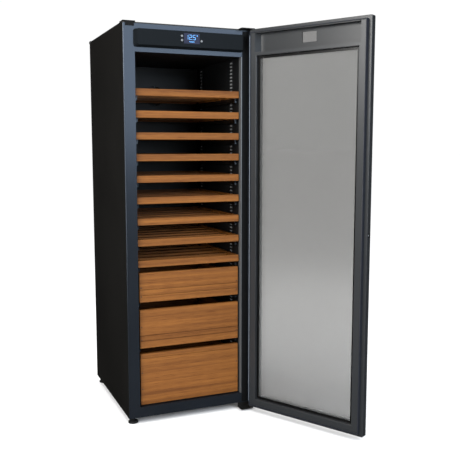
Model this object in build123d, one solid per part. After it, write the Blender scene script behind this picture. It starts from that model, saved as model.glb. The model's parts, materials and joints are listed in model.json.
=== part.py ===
from build123d import *
import os
from math import radians, tan

# Upright single-zone wine cooler: a steel case on four levelling feet, a glazed door on the
# right, nine pull-out wooden shelves and three wooden drawers, all on steel runners.
# Millimetres. X runs to the right, Y to the back and Z up. The origin lies on the floor under
# the middle of the case. The door stands open, the shelves and drawers are home.

# Case
CASE_WIDTH = 596.0
CASE_DEPTH = 670.0
CASE_HEIGHT = 1733.0
FOOT_HEIGHT = 30.0
SKIN = 1.5
BASE_SHEET = 2.0
TOP_COVER_HEIGHT = 7.0
TOP_COVER_SETBACK = 6.0
TOP_COVER_CORNER = 14.0
FACE_PLATE = 3.0
FACE_EDGE_RADIUS = 2.0
STILE = 51.5
BOTTOM_RAIL = 47.0
HEADER = 117.0
RETURN_DEPTH = 24.0
LINER_WALL = 2.0
BACK_INSULATION = 95.0

# Machine compartment behind the step at the foot of the liner
STEP_DEPTH = 190.0
STEP_HEIGHT = 230.0
STEP_INSULATION = 33.0
COMPARTMENT_SIDE = 8.0

# Feet
FOOT_INSET = 27.0
FOOT_SETBACK = 35.0
FOOT_PAD_RADIUS = 22.5
FOOT_PAD_HEIGHT = 9.0
FOOT_STUD_RADIUS = 8.0
FOOT_STUD_FIT = 2.0

# Punched standards that carry the runners
STANDARD_THICKNESS = 2.5
STANDARD_WIDTH = 20.0
FRONT_STANDARD_SETBACK = 115.0
MIDDLE_STANDARD_TO_STEP = 55.0
REAR_STANDARD_TO_BACK = 61.0
STANDARD_END_GAP = 8.0
HOLE_PITCH = 16.0
HOLE_RADIUS = 4.2

# Runners: a fixed channel on the standards and a sliding profile under the wood
CHANNEL_WIDTH = 11.0
CHANNEL_HEIGHT = 18.0
PROFILE_WALL = 1.5
CHANNEL_DROP = 0.5
MOUTH_GAP = 0.8
FOOT_FLANGE_DROP = 9.2
FOOT_FLANGE_GAP = 3.0
WEB_LIFT = 1.0
TOP_FLANGE_INNER = 4.7
TOP_FLANGE_OUTER = 5.3
GLIDE_LENGTH = 40.0
FRONT_GLIDE_LENGTH = 30.0
GLIDE_GAP = 0.3
CHANNEL_LAG = 4.0

# Shelves
SHELF_COUNT = 9
SHELF_TOP_SPACE = 152.0
FRONT_RECESS = 15.0
REAR_SPACE = 40.0
FASCIA_HEIGHT = 30.0
FASCIA_THICKNESS = 20.0
FASCIA_SIDE_GAP = 4.5
RAIL_WIDTH = 16.0
SLAT_COUNT = 6
SLAT_WIDTH = 30.0
SLAT_THICKNESS = 14.0
SLAT_DROP = 6.0
WOOD_EDGE_RADIUS = 1.5

# Drawers, from the lowest to the highest: front height, how far the front reaches below the
# box, the gap above it, and the heights of its grooves above its lower edge
DRAWERS = [
    {"number": 3, "height": 236.0, "skirt": 22.0, "gap": 26.0, "grooves": [213.0]},
    {"number": 2, "height": 175.5, "skirt": 0.0, "gap": 34.5, "grooves": [32.0, 56.0]},
    {"number": 1, "height": 133.0, "skirt": 0.0, "gap": 25.0, "grooves": [30.0, 56.0]},
]
DRAWER_FLOOR_GAP = 5.0
DRAWER_SIDE_GAP = 8.5
DRAWER_FRONT_THICKNESS = 18.0
DRAWER_WALL = 15.0
DRAWER_BOTTOM = 9.0
DRAWER_WALL_DROP = 45.0
DRAWER_STEP_GAP = 15.0
GROOVE_HEIGHT = 3.0
GROOVE_DEPTH = 3.0

# Control panel on the header
PANEL_TOP_GAP = 22.0
PANEL_HEIGHT = 76.0
PANEL_OVERHANG = 6.5
PANEL_DEPTH = 30.0
PANEL_TAPER = 12.0
PANEL_TOP_BEVEL = 2.0
PANEL_BOTTOM_BEVEL = 8.0
PANEL_CORNER = 12.0
PANEL_WALL = 4.0
DISPLAY_WIDTH = 72.0
DISPLAY_HEIGHT = 44.0
DISPLAY_RISE = 6.0
DISPLAY_THICKNESS = 2.0
BUTTON_RADIUS = 5.0
BUTTON_FIT = 0.08
BUTTON_PROUD = 1.5
BUTTON_STEM = 9.0
BUTTON_FLANGE = 1.5
BUTTON_SIDE_GAP = 9.0
BUTTON_SPREAD = 9.0

# Door, closed and flat in front of the face, then turned open about its hinge pins
DOOR_OPEN_ANGLE = 119.0
DOOR_SIDE_OVERHANG = 4.0
DOOR_TOP_OVERHANG = 3.0
DOOR_DROP = 14.0
DOOR_GAP = 3.0
DOOR_RAISE = 16.0
DOOR_SLAB = 27.0
DOOR_LIP = 18.0
DOOR_STILE = 31.0
DOOR_TOP_BAND = 102.0
DOOR_CORNER = 6.0
DOOR_EDGE_RADIUS = 2.0
GASKET_WIDTH = 3.0
GASKET_GAP = 0.6
GLASS = 4.0
GLASS_OVERLAP = 8.0
GLASS_FIT = 0.5
GLASS_PROUD = 1.5
OUTER_GLASS_LIP = 2.5
SPACER_WIDTH = 8.0
POCKET_CLEARANCE = 9.0
POCKET_GAP = 3.0
POCKET_DEPTH_GAP = 6.0
POCKET_SLOPE = 12.0

# Hinges and lock
HINGE_SETBACK = 27.0
HINGE_INSET = 11.0
PIN_RADIUS = 4.0
PIN_FIT = 0.05
BUSH_WALL = 1.5
BUSH_FLANGE = 2.5
BUSH_DEPTH = 26.0
BUSH_END = 1.0
PIN_REACH = 22.0
BRACKET_PLATE = 4.0
TOP_BRACKET_PLATE = 2.5
BRACKET_LENGTH = 64.0
BRACKET_REAR = 70.0
BRACKET_NOSE = 10.0
BRACKET_GAP = 0.4
SCREW_HEAD_RADIUS = 5.0
SCREW_HEAD_HEIGHT = 2.5
SCREW_SPREAD = 12.8
COVER_TAB_WIDTH = 38.0
COVER_TAB_INSET = 11.0
COVER_TAB_DROP = 11.0
COVER_PLATE = 3.5
COVER_WALL = 2.0
COVER_LENGTH = 55.0
LOCK_HEIGHT = 880.0
LOCK_RADIUS = 5.0
LOCK_HEAD_RADIUS = 7.0
LOCK_HEAD = 1.5
LOCK_LENGTH = 20.0
KEYWAY_WIDTH = 1.4
KEYWAY_HEIGHT = 7.0

# Cold air unit at the back of the cavity
DUCT_SIDE_SPACE = 76.5
DUCT_DEPTH = 35.0
DUCT_WALL = 2.0
DUCT_FLOOR_SPACE = 33.0
DUCT_TOP_SPACE = 46.0
INTAKE_WIDTH = 170.0
INTAKE_HEIGHT = 8.0
INTAKE_SLOTS = 5
FAN_DROP = 100.0
FAN_HOLE_RADIUS = 50.0
FAN_RADIUS = 46.0
FAN_HUB_RADIUS = 14.0
FAN_DEPTH = 10.0
FAN_BLADES = 5
FAN_BLADE_TILT = 35.0
FAN_BLADE_THICKNESS = 1.6
FAN_BLADE_ROOT = 2.0
FAN_GAP = 2.0
MOTOR_RADIUS = 18.0
MOTOR_DEPTH = 18.0
MOTOR_EDGE_RADIUS = 3.0
SHAFT_RADIUS = 3.0
SHAFT_FIT = 0.05
EVAPORATOR_TUBE = 4.0
EVAPORATOR_RUNS = 8
EVAPORATOR_PITCH = 60.0
EVAPORATOR_PLATE = 2.0
EVAPORATOR_SIDE_GAP = 34.0
EVAPORATOR_RISE = 76.5

# Refrigeration machine, the air slots behind it, and the power inlet
COMPRESSOR_RADIUS = 80.0
COMPRESSOR_HEIGHT = 190.0
COMPRESSOR_SHELL = 4.0
COMPRESSOR_DOME = 28.0
COMPRESSOR_X = -110.0
COMPRESSOR_REAR_GAP = 40.0
MOUNT_OVERHANG = 15.0
MOUNT_HALF_DEPTH = 64.0
MOUNT_POST_HEIGHT = 12.0
MOUNT_POST_INSET = 12.0
MOUNT_POST_RADIUS = 9.6
CONDENSER_TUBE = 3.2
CONDENSER_RUNS = 6
CONDENSER_PITCH = 30.0
CONDENSER_REAR_GAP = 45.0
CONDENSER_SIDE_GAP = 45.0
CONDENSER_RISE = 20.0
CONDENSER_WIRES = 6
CONDENSER_WIRE_RADIUS = 1.7
CONDENSER_WIRE_LEAD = 2.24
AIR_SLOT_ROWS = 6
AIR_SLOT_PITCH = 24.0
AIR_SLOT_WIDTH = 120.0
AIR_SLOT_HEIGHT = 8.0
AIR_SLOT_LEFT = -20.0
AIR_SLOT_RISE = 50.0
INLET_WIDTH = 48.0
INLET_HEIGHT = 28.0
INLET_DEPTH = 25.0
INLET_WALL = 4.0
INLET_FLANGE = 2.0
INLET_X = -210.0
INLET_Z = 120.0
BLADE_PITCH = 10.0
BLADE_WIDTH = 2.0
BLADE_HEIGHT = 6.0

# Places that follow from those sizes
FACE_Y = -CASE_DEPTH / 2
BACK_Y = CASE_DEPTH / 2
SIDE_X = CASE_WIDTH / 2
BASE_Z = FOOT_HEIGHT
TOP_Z = BASE_Z + CASE_HEIGHT
OPEN_X = SIDE_X - STILE
OPEN_BOTTOM = BASE_Z + BOTTOM_RAIL
OPEN_TOP = TOP_Z - HEADER
CAVITY_BACK = BACK_Y - BACK_INSULATION
STEP_Y = CAVITY_BACK - STEP_DEPTH
STEP_Z = OPEN_BOTTOM + STEP_HEIGHT
INSIDE_X = SIDE_X - SKIN
FRONT_Y = FACE_Y + FRONT_RECESS
REAR_Y = CAVITY_BACK - REAR_SPACE
WALL_X = OPEN_X - STANDARD_THICKNESS
MOUTH_X = WALL_X - CHANNEL_WIDTH
DOOR_X = SIDE_X + DOOR_SIDE_OVERHANG
DOOR_TOP = TOP_Z + DOOR_TOP_OVERHANG
DOOR_BOTTOM = BASE_Z - DOOR_DROP
RAISED_Y = FACE_Y - DOOR_GAP
LIP_Y = RAISED_Y - DOOR_RAISE
DOOR_FRONT = LIP_Y - DOOR_SLAB
HINGE_X = DOOR_X - HINGE_INSET
HINGE_Y = FACE_Y - HINGE_SETBACK
BUSH_RADIUS = PIN_RADIUS + BUSH_WALL
BUSH_FLANGE_RADIUS = BUSH_RADIUS + BUSH_FLANGE
TOP_BRACKET_LOW = TOP_Z + TOP_COVER_HEIGHT - TOP_BRACKET_PLATE
PANEL_TOP = TOP_Z - PANEL_TOP_GAP
PANEL_BOTTOM = PANEL_TOP - PANEL_HEIGHT
PANEL_X = OPEN_X + PANEL_OVERHANG
PANEL_FRONT = FACE_Y - PANEL_DEPTH
COVER_TOP = TOP_Z + TOP_COVER_HEIGHT
FOOT_X = SIDE_X - FOOT_INSET
FOOT_Y = CASE_DEPTH / 2 - FOOT_SETBACK


def block(x0, x1, y0, y1, z0, z1):
    """A box between two opposite corners."""
    centre = Pos((x0 + x1) / 2, (y0 + y1) / 2, (z0 + z1) / 2)
    return centre * Box(abs(x1 - x0), abs(y1 - y0), abs(z1 - z0))


def rod_z(x, y, z0, z1, radius):
    """An upright cylinder."""
    return Pos(x, y, (z0 + z1) / 2) * Cylinder(radius, z1 - z0)


def rod_y(x, z, y0, y1, radius):
    """A cylinder that lies from front to back."""
    return Pos(x, (y0 + y1) / 2, z) * Rot(90, 0, 0) * Cylinder(radius, y1 - y0)


def rod_x(y, z, x0, x1, radius):
    """A cylinder that lies from side to side."""
    return Pos((x0 + x1) / 2, y, z) * Rot(0, 90, 0) * Cylinder(radius, x1 - x0)


def both_sides(shape):
    """A piece and its mirror image on the other side of the case."""
    return [shape, mirror(shape, about=Plane.YZ)]


def open_door(shape):
    """Turns a piece of the closed door open about the hinge pins."""
    hinge = Axis((HINGE_X, HINGE_Y, 0), (0, 0, 1))
    return shape.rotate(hinge, DOOR_OPEN_ANGLE)


def save(node, *shapes):
    """Writes one node, which may hold several separate solids."""
    solids = [solid for shape in shapes for solid in shape.solids()]
    whole = solids[0] if len(solids) == 1 else Compound(children=solids)
    export_step(whole, f"parts/{node}.step")


def ring_bars(x, z0, z1, width, y0, y1):
    """A rectangular ring of four bars, with the outer size given."""
    inner = x - width
    return [
        block(-x, -inner, y0, y1, z0, z1),
        block(inner, x, y0, y1, z0, z1),
        block(-inner, inner, y0, y1, z0, z0 + width),
        block(-inner, inner, y0, y1, z1 - width, z1),
    ]


def edges_at(shape, axis, place):
    """The edges that lie wholly in the plane across an axis at one place."""
    return shape.edges().filter_by_position(axis, place - 0.01, place + 0.01)


# ---- Case -------------------------------------------------------------------------------


def make_front_frame():
    """Face of the case: a plate round the opening with a sleeve that lines its edge."""
    face_back = FACE_Y + FACE_PLATE
    plate = block(-SIDE_X, SIDE_X, FACE_Y, face_back, BASE_Z, TOP_Z)
    corners = plate.edges().filter_by(Axis.Z).group_by(Axis.Y)[0]
    plate = fillet(corners, FACE_EDGE_RADIUS)
    sleeve_x = OPEN_X + LINER_WALL
    sleeve_z = (OPEN_BOTTOM - LINER_WALL, OPEN_TOP + LINER_WALL)
    sleeve_back = FACE_Y + RETURN_DEPTH
    sleeve = block(-sleeve_x, sleeve_x, face_back, sleeve_back, *sleeve_z)
    hole = block(-OPEN_X, OPEN_X, FACE_Y - 1, sleeve_back + 1, OPEN_BOTTOM, OPEN_TOP)
    return plate + sleeve - hole


def make_side_panels():
    """Two painted steel sides that butt against the back of the face."""
    return both_sides(block(INSIDE_X, SIDE_X, FACE_Y + FACE_PLATE, BACK_Y, BASE_Z, TOP_Z))


def make_top_cover():
    """Moulded lid with rounded corners, set back a little, with a recess for the hinge."""
    front = FACE_Y + TOP_COVER_SETBACK
    lid = block(-SIDE_X, SIDE_X, front, BACK_Y, TOP_Z, COVER_TOP)
    lid = fillet(lid.edges().filter_by(Axis.Z), TOP_COVER_CORNER)
    lid = fillet(edges_at(lid, Axis.Z, COVER_TOP), TOP_COVER_HEIGHT / 3)
    left = SIDE_X - BRACKET_LENGTH
    rear = FACE_Y + BRACKET_REAR
    return lid - block(left, SIDE_X + 1, front - 1, rear, TOP_BRACKET_LOW, COVER_TOP + 1)


def make_back_panel():
    """Rear sheet with air slots over the machine compartment and a hole for the inlet."""
    sheet = block(-INSIDE_X, INSIDE_X, BACK_Y - SKIN, BACK_Y, BASE_Z + BASE_SHEET, TOP_Z)
    for row in range(AIR_SLOT_ROWS):
        for column in (0, 1):
            x = AIR_SLOT_LEFT + column * (AIR_SLOT_WIDTH + AIR_SLOT_PITCH)
            z = BASE_Z + AIR_SLOT_RISE + row * AIR_SLOT_PITCH
            far = (x + AIR_SLOT_WIDTH, z + AIR_SLOT_HEIGHT)
            sheet -= block(x, far[0], BACK_Y - 5, BACK_Y + 5, z, far[1])
    half = INLET_WIDTH / 2
    rise = INLET_HEIGHT / 2
    inlet = (INLET_X - half, INLET_X + half)
    return sheet - block(*inlet, BACK_Y - 5, BACK_Y + 5, INLET_Z - rise, INLET_Z + rise)


def make_base_plate():
    """Steel floor of the case, which stands on the studs of the feet."""
    front = FACE_Y + FACE_PLATE
    return block(-INSIDE_X, INSIDE_X, front, BACK_Y - SKIN, BASE_Z, BASE_Z + BASE_SHEET)


def liner_envelope(grow, front):
    """The cavity's outline with its step, grown outwards by the given wall."""
    x = OPEN_X + grow
    whole = block(-x, x, front, CAVITY_BACK + grow, OPEN_BOTTOM - grow, OPEN_TOP + grow)
    beyond = CAVITY_BACK + grow + 1
    step = block(-x - 1, x + 1, STEP_Y + grow, beyond, BASE_Z, STEP_Z - grow)
    return whole - step


def make_inner_liner():
    """Black moulded liner of the cavity, stepped at the lower back over the machine."""
    start = FACE_Y + RETURN_DEPTH
    return liner_envelope(LINER_WALL, start) - liner_envelope(0, start - 1)


def make_insulation():
    """Foam between the skins and the liner, hollow over the machine compartment."""
    floor = BASE_Z + BASE_SHEET
    front = FACE_Y + FACE_PLATE
    foam = block(-INSIDE_X, INSIDE_X, front, BACK_Y - SKIN, floor, TOP_Z)
    foam -= liner_envelope(LINER_WALL, front - 1)
    x = SIDE_X - COMPARTMENT_SIDE
    low_y = STEP_Y + LINER_WALL + STEP_INSULATION
    high_z = STEP_Z - LINER_WALL - STEP_INSULATION
    return foam - block(-x, x, low_y, BACK_Y, floor - 1, high_z)


def make_feet():
    """Four levelling feet: a wide pad under a threaded stud."""
    feet = []
    for x in (-FOOT_X, FOOT_X):
        for y in (-FOOT_Y, FOOT_Y):
            pad = rod_z(x, y, 0, FOOT_PAD_HEIGHT, FOOT_PAD_RADIUS)
            pad = chamfer(pad.edges().group_by(Axis.Z)[-1], FOOT_PAD_HEIGHT / 4)
            feet.append(pad + rod_z(x, y, FOOT_PAD_HEIGHT, BASE_Z, FOOT_STUD_RADIUS))
    return feet


def make_standards():
    """Punched uprights on the liner's side walls: front, rear, and a short one by the step."""
    strips = []
    high = OPEN_TOP - STANDARD_END_GAP
    low = OPEN_BOTTOM + STANDARD_END_GAP
    places = [
        (FACE_Y + FRONT_STANDARD_SETBACK, low, high),
        (STEP_Y - MIDDLE_STANDARD_TO_STEP, low, STEP_Z - STANDARD_END_GAP),
        (CAVITY_BACK - REAR_STANDARD_TO_BACK, STEP_Z + STANDARD_END_GAP, high),
    ]
    for y, z0, z1 in places:
        width = STANDARD_WIDTH / 2
        strip = block(WALL_X, OPEN_X, y - width, y + width, z0, z1)
        count = int((z1 - z0 - HOLE_PITCH) / HOLE_PITCH)
        heights = [z0 + HOLE_PITCH * (i + 1) for i in range(count)]
        holes = [rod_x(y, z, WALL_X - 1, OPEN_X + 1, HOLE_RADIUS) for z in heights]
        strips += both_sides(strip - holes)
    return strips


# ---- Runners, shelves and drawers ---------------------------------------------------------


def make_channel(support, rear):
    """One fixed C-shaped runner, open to the middle, with a nylon glide at its front."""
    front = FRONT_Y + FASCIA_THICKNESS + CHANNEL_LAG
    top = support - PROFILE_WALL - CHANNEL_DROP
    bottom = top - CHANNEL_HEIGHT
    channel = block(MOUTH_X, WALL_X, front, rear + CHANNEL_LAG, bottom, top)
    channel -= block(
        MOUTH_X - 1,
        WALL_X - PROFILE_WALL,
        front - 1,
        rear + CHANNEL_LAG + 1,
        bottom + PROFILE_WALL,
        top - PROFILE_WALL,
    )
    glide_top = support - PROFILE_WALL - FOOT_FLANGE_DROP - PROFILE_WALL - GLIDE_GAP
    glide = block(
        MOUTH_X + MOUTH_GAP,
        WALL_X - PROFILE_WALL,
        front,
        front + FRONT_GLIDE_LENGTH,
        bottom + PROFILE_WALL,
        glide_top,
    )
    return both_sides(channel) + both_sides(glide)


def make_slide(support, rear):
    """The pair of sliding profiles under a shelf or drawer, each with a glide at its rear."""
    front = FRONT_Y + FASCIA_THICKNESS
    web_outer = MOUTH_X - MOUTH_GAP
    web_inner = web_outer - PROFILE_WALL
    under = support - PROFILE_WALL
    web_bottom = under - CHANNEL_DROP - CHANNEL_HEIGHT + WEB_LIFT
    flange = block(
        web_inner - TOP_FLANGE_INNER, web_outer + TOP_FLANGE_OUTER, front, rear, under, support
    )
    web = block(web_inner, web_outer, front, rear, web_bottom, under)
    foot_top = under - FOOT_FLANGE_DROP
    foot_outer = WALL_X - PROFILE_WALL - FOOT_FLANGE_GAP
    foot = block(
        web_outer, foot_outer, front, rear - GLIDE_LENGTH, foot_top - PROFILE_WALL, foot_top
    )
    glide_low = under - CHANNEL_DROP - CHANNEL_HEIGHT + PROFILE_WALL + GLIDE_GAP
    glide_high = under - CHANNEL_DROP - PROFILE_WALL - GLIDE_GAP
    glide_outer = WALL_X - PROFILE_WALL - GLIDE_GAP
    glide = block(web_outer, glide_outer, rear - GLIDE_LENGTH, rear, glide_low, glide_high)
    return both_sides(flange + web + foot) + both_sides(glide)


def soften(shape):
    """Sanded edges of a wooden board."""
    return fillet(shape.edges(), WOOD_EDGE_RADIUS)


def make_shelf(support):
    """A wooden rack: fascia, two side rails, a back rail, and slats that cradle bottles."""
    x = OPEN_X - FASCIA_SIDE_GAP
    top = support + FASCIA_HEIGHT
    front = FRONT_Y + FASCIA_THICKNESS
    back = REAR_Y - FASCIA_THICKNESS
    inner = x - RAIL_WIDTH
    pieces = [
        soften(block(-x, x, FRONT_Y, front, support, top)),
        block(-x, x, back, REAR_Y, support, top),
        *both_sides(block(inner, x, front, back, support, top)),
    ]
    pitch = (back - front - SLAT_WIDTH) / (SLAT_COUNT - 1)
    slat_top = top - SLAT_DROP
    for i in range(SLAT_COUNT):
        y = front + i * pitch
        slat = block(-inner, inner, y, y + SLAT_WIDTH, slat_top - SLAT_THICKNESS, slat_top)
        pieces.append(slat)
    return pieces


def make_drawer_front(low, drawer):
    """Solid wooden drawer front with straight grooves across it."""
    x = OPEN_X - DRAWER_SIDE_GAP
    board = block(
        -x, x, FRONT_Y, FRONT_Y + DRAWER_FRONT_THICKNESS, low, low + drawer["height"]
    )
    board = soften(board)
    for height in drawer["grooves"]:
        z = low + height
        board -= block(
            -x - 1, x + 1, FRONT_Y - 1, FRONT_Y + GROOVE_DEPTH, z, z + GROOVE_HEIGHT
        )
    return board


def make_drawer_box(support, height, rear):
    """Open wooden box behind the front: two sides, a back and a bottom."""
    x = OPEN_X - DRAWER_SIDE_GAP
    inner = x - DRAWER_WALL
    front = FRONT_Y + DRAWER_FRONT_THICKNESS
    top = support + height
    return [
        *both_sides(block(inner, x, front, rear, support, top)),
        block(-inner, inner, rear - DRAWER_WALL, rear, support, top),
        block(-inner, inner, front, rear - DRAWER_WALL, support, support + DRAWER_BOTTOM),
    ]


# ---- Control panel ------------------------------------------------------------------------


def panel_outline(half_width, low, high, y, corner):
    """A rounded rectangle that stands upright at one depth."""
    place = Plane((0, y, (low + high) / 2), x_dir=(1, 0, 0), z_dir=(0, -1, 0))
    return place * RectangleRounded(2 * half_width, high - low, corner)


BUTTON_X = DISPLAY_WIDTH / 2 + BUTTON_SIDE_GAP
DISPLAY_Z = (PANEL_TOP + PANEL_BOTTOM) / 2 + DISPLAY_RISE
BUTTONS = {
    "button_power": (-BUTTON_X, DISPLAY_Z + BUTTON_SPREAD),
    "button_down": (-BUTTON_X, DISPLAY_Z - BUTTON_SPREAD),
    "button_up": (BUTTON_X, DISPLAY_Z - BUTTON_SPREAD),
}


def make_control_panel():
    """Bevelled hollow housing, with a seat for the display and bores for the buttons."""
    low = PANEL_BOTTOM + PANEL_BOTTOM_BEVEL
    high = PANEL_TOP - PANEL_TOP_BEVEL
    rear = panel_outline(PANEL_X, PANEL_BOTTOM, PANEL_TOP, FACE_Y, PANEL_CORNER)
    face = panel_outline(PANEL_X - PANEL_TAPER, low, high, PANEL_FRONT, PANEL_CORNER / 2)
    housing = loft([rear, face])
    inner_x = PANEL_X - PANEL_TAPER - 2 * PANEL_WALL
    housing -= block(
        -inner_x,
        inner_x,
        FACE_Y + 1,
        PANEL_FRONT + PANEL_WALL,
        low + PANEL_WALL,
        high - PANEL_WALL,
    )
    for x, z in BUTTONS.values():
        radius = BUTTON_RADIUS + BUTTON_FIT
        housing -= rod_y(x, z, PANEL_FRONT - 1, PANEL_FRONT + PANEL_WALL + 1, radius)
    return housing - make_display_window()


def make_display_window():
    """Clear plate over the display, flush with the panel."""
    half = DISPLAY_HEIGHT / 2
    return block(
        -DISPLAY_WIDTH / 2,
        DISPLAY_WIDTH / 2,
        PANEL_FRONT,
        PANEL_FRONT + DISPLAY_THICKNESS,
        DISPLAY_Z - half,
        DISPLAY_Z + half,
    )


def make_button(x, z):
    """Round push button, held in the panel by a flange behind its wall."""
    front = PANEL_FRONT - BUTTON_PROUD
    cap = rod_y(x, z, front, front + BUTTON_PROUD + BUTTON_STEM, BUTTON_RADIUS)
    cap = chamfer(cap.edges().group_by(Axis.Y)[0], BUTTON_PROUD / 2)
    flange_y = PANEL_FRONT + PANEL_WALL + BUTTON_FLANGE
    flange = rod_y(x, z, flange_y, flange_y + BUTTON_FLANGE, BUTTON_RADIUS + BUTTON_FLANGE)
    return cap + flange


# ---- Door ---------------------------------------------------------------------------------

GLASS_X = DOOR_X - DOOR_LIP - DOOR_STILE
GLASS_LOW = DOOR_BOTTOM + DOOR_LIP + DOOR_STILE
GLASS_HIGH = DOOR_TOP - DOOR_LIP - DOOR_TOP_BAND
INNER_GLASS_Y = LIP_Y + GLASS_PROUD
OUTER_GLASS_Y = DOOR_FRONT + GLASS
POCKET_Y = PANEL_FRONT - POCKET_DEPTH_GAP


def door_pocket():
    """Hollow in the door's inner side that takes in the control panel when it is shut."""
    left = -PANEL_X - POCKET_CLEARANCE
    right = PANEL_X + POCKET_CLEARANCE
    outline = Polyline(
        (left, RAISED_Y + 1),
        (left, POCKET_Y),
        (right - POCKET_SLOPE, POCKET_Y),
        (right, RAISED_Y + 1),
        close=True,
    )
    height = PANEL_HEIGHT + 2 * POCKET_GAP
    return Pos(0, 0, PANEL_BOTTOM - POCKET_GAP) * extrude(make_face(outline), height)


def inner_glass_seat():
    """Room for the inner pane, with a working gap round its edge."""
    grow = GLASS_OVERLAP + GLASS_FIT
    return block(
        -GLASS_X - grow,
        GLASS_X + grow,
        INNER_GLASS_Y,
        INNER_GLASS_Y - GLASS,
        GLASS_LOW - grow,
        GLASS_HIGH + grow,
    )


def make_door_frame():
    """Outer frame of the door: seats for both panes, the bushes, the lock and the pocket."""
    slab = block(-DOOR_X, DOOR_X, DOOR_FRONT, LIP_Y, DOOR_BOTTOM, DOOR_TOP)
    slab = fillet(slab.edges().filter_by(Axis.Y), DOOR_CORNER)
    slab = fillet(edges_at(slab, Axis.Y, LIP_Y), DOOR_EDGE_RADIUS)
    slab -= block(-GLASS_X, GLASS_X, DOOR_FRONT - 1, LIP_Y + 1, GLASS_LOW, GLASS_HIGH)
    slab -= outer_glass_blank()
    slab -= inner_glass_seat()
    slab -= door_pocket()
    half = DISPLAY_HEIGHT / 2
    slab -= block(
        -DISPLAY_WIDTH / 2,
        DISPLAY_WIDTH / 2,
        OUTER_GLASS_Y - 1,
        POCKET_Y + 1,
        DISPLAY_Z - half,
        DISPLAY_Z + half,
    )
    slab -= rod_z(HINGE_X, HINGE_Y, DOOR_TOP - BUSH_DEPTH, DOOR_TOP + 1, BUSH_RADIUS)
    slab -= rod_z(HINGE_X, HINGE_Y, DOOR_BOTTOM - 1, DOOR_BOTTOM + BUSH_DEPTH, BUSH_RADIUS)
    lock_y = (LIP_Y + DOOR_FRONT) / 2
    bore = LOCK_RADIUS + PIN_FIT
    return slab - rod_x(lock_y, LOCK_HEIGHT, -DOOR_X - 1, -DOOR_X + LOCK_LENGTH + 1, bore)


def outer_glass_blank():
    """The outer pane, which fills the whole front inside a thin lip."""
    x = DOOR_X - OUTER_GLASS_LIP
    low = DOOR_BOTTOM + OUTER_GLASS_LIP
    high = DOOR_TOP - OUTER_GLASS_LIP
    pane = block(-x, x, DOOR_FRONT, OUTER_GLASS_Y, low, high)
    return fillet(pane.edges().filter_by(Axis.Y), DOOR_CORNER - OUTER_GLASS_LIP)


def make_inner_glass():
    """The inner pane, held between the frame and the raised liner."""
    return block(
        -GLASS_X - GLASS_OVERLAP,
        GLASS_X + GLASS_OVERLAP,
        INNER_GLASS_Y - GLASS,
        INNER_GLASS_Y,
        GLASS_LOW - GLASS_OVERLAP,
        GLASS_HIGH + GLASS_OVERLAP,
    )


def make_spacer():
    """Aluminium spacer bars that hold the two panes apart."""
    x = GLASS_X - GLASS_FIT
    low = GLASS_LOW + GLASS_FIT
    high = GLASS_HIGH - GLASS_FIT
    return ring_bars(x, low, high, SPACER_WIDTH, OUTER_GLASS_Y, INNER_GLASS_Y - GLASS)


def make_door_liner():
    """Raised inner frame of the door, with the pocket for the control panel."""
    x = DOOR_X - DOOR_LIP
    frame = block(-x, x, LIP_Y, RAISED_Y, DOOR_BOTTOM + DOOR_LIP, DOOR_TOP - DOOR_LIP)
    frame = fillet(frame.edges().filter_by(Axis.Y), DOOR_CORNER / 2)
    frame -= block(-GLASS_X, GLASS_X, LIP_Y - 1, RAISED_Y + 1, GLASS_LOW, GLASS_HIGH)
    frame = fillet(edges_at(frame, Axis.Y, RAISED_Y), DOOR_EDGE_RADIUS)
    return frame - inner_glass_seat() - door_pocket()


def make_gasket():
    """Soft seal round the raised frame that closes on the face of the case."""
    x = DOOR_X - DOOR_LIP + GASKET_WIDTH
    low = DOOR_BOTTOM + DOOR_LIP - GASKET_WIDTH
    high = DOOR_TOP - DOOR_LIP + GASKET_WIDTH
    return ring_bars(x, low, high, GASKET_WIDTH, LIP_Y, FACE_Y - GASKET_GAP)


def make_bushes():
    """Two nylon bushes in the door, each with a flange against its bracket."""
    bore = PIN_RADIUS + PIN_FIT
    top = rod_z(HINGE_X, HINGE_Y, DOOR_TOP - BUSH_DEPTH, DOOR_TOP, BUSH_RADIUS)
    top_flange = TOP_BRACKET_LOW - BRACKET_GAP
    top += rod_z(HINGE_X, HINGE_Y, DOOR_TOP, top_flange, BUSH_FLANGE_RADIUS)
    top -= rod_z(HINGE_X, HINGE_Y, DOOR_TOP - BUSH_DEPTH + BUSH_END, top_flange + 1, bore)
    low = rod_z(HINGE_X, HINGE_Y, DOOR_BOTTOM, DOOR_BOTTOM + BUSH_DEPTH, BUSH_RADIUS)
    low_flange = DOOR_BOTTOM - BRACKET_PLATE + BRACKET_GAP
    low += rod_z(HINGE_X, HINGE_Y, low_flange, DOOR_BOTTOM, BUSH_FLANGE_RADIUS)
    low -= rod_z(HINGE_X, HINGE_Y, low_flange - 1, DOOR_BOTTOM + BUSH_DEPTH - BUSH_END, bore)
    return [top, low]


def make_lock():
    """Lock barrel in the door's free edge, with a head and a keyway."""
    y = (LIP_Y + DOOR_FRONT) / 2
    barrel = rod_x(y, LOCK_HEIGHT, -DOOR_X, -DOOR_X + LOCK_LENGTH, LOCK_RADIUS)
    head = rod_x(y, LOCK_HEIGHT, -DOOR_X - LOCK_HEAD, -DOOR_X, LOCK_HEAD_RADIUS)
    head = chamfer(head.edges().group_by(Axis.X)[0], LOCK_HEAD / 2)
    half = KEYWAY_HEIGHT / 2
    keyway = block(
        -DOOR_X - LOCK_HEAD - 1,
        -DOOR_X + LOCK_LENGTH / 2,
        y - KEYWAY_WIDTH / 2,
        y + KEYWAY_WIDTH / 2,
        LOCK_HEIGHT - half,
        LOCK_HEIGHT + half,
    )
    return barrel + head - keyway


# ---- Hinge brackets -----------------------------------------------------------------------


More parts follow.
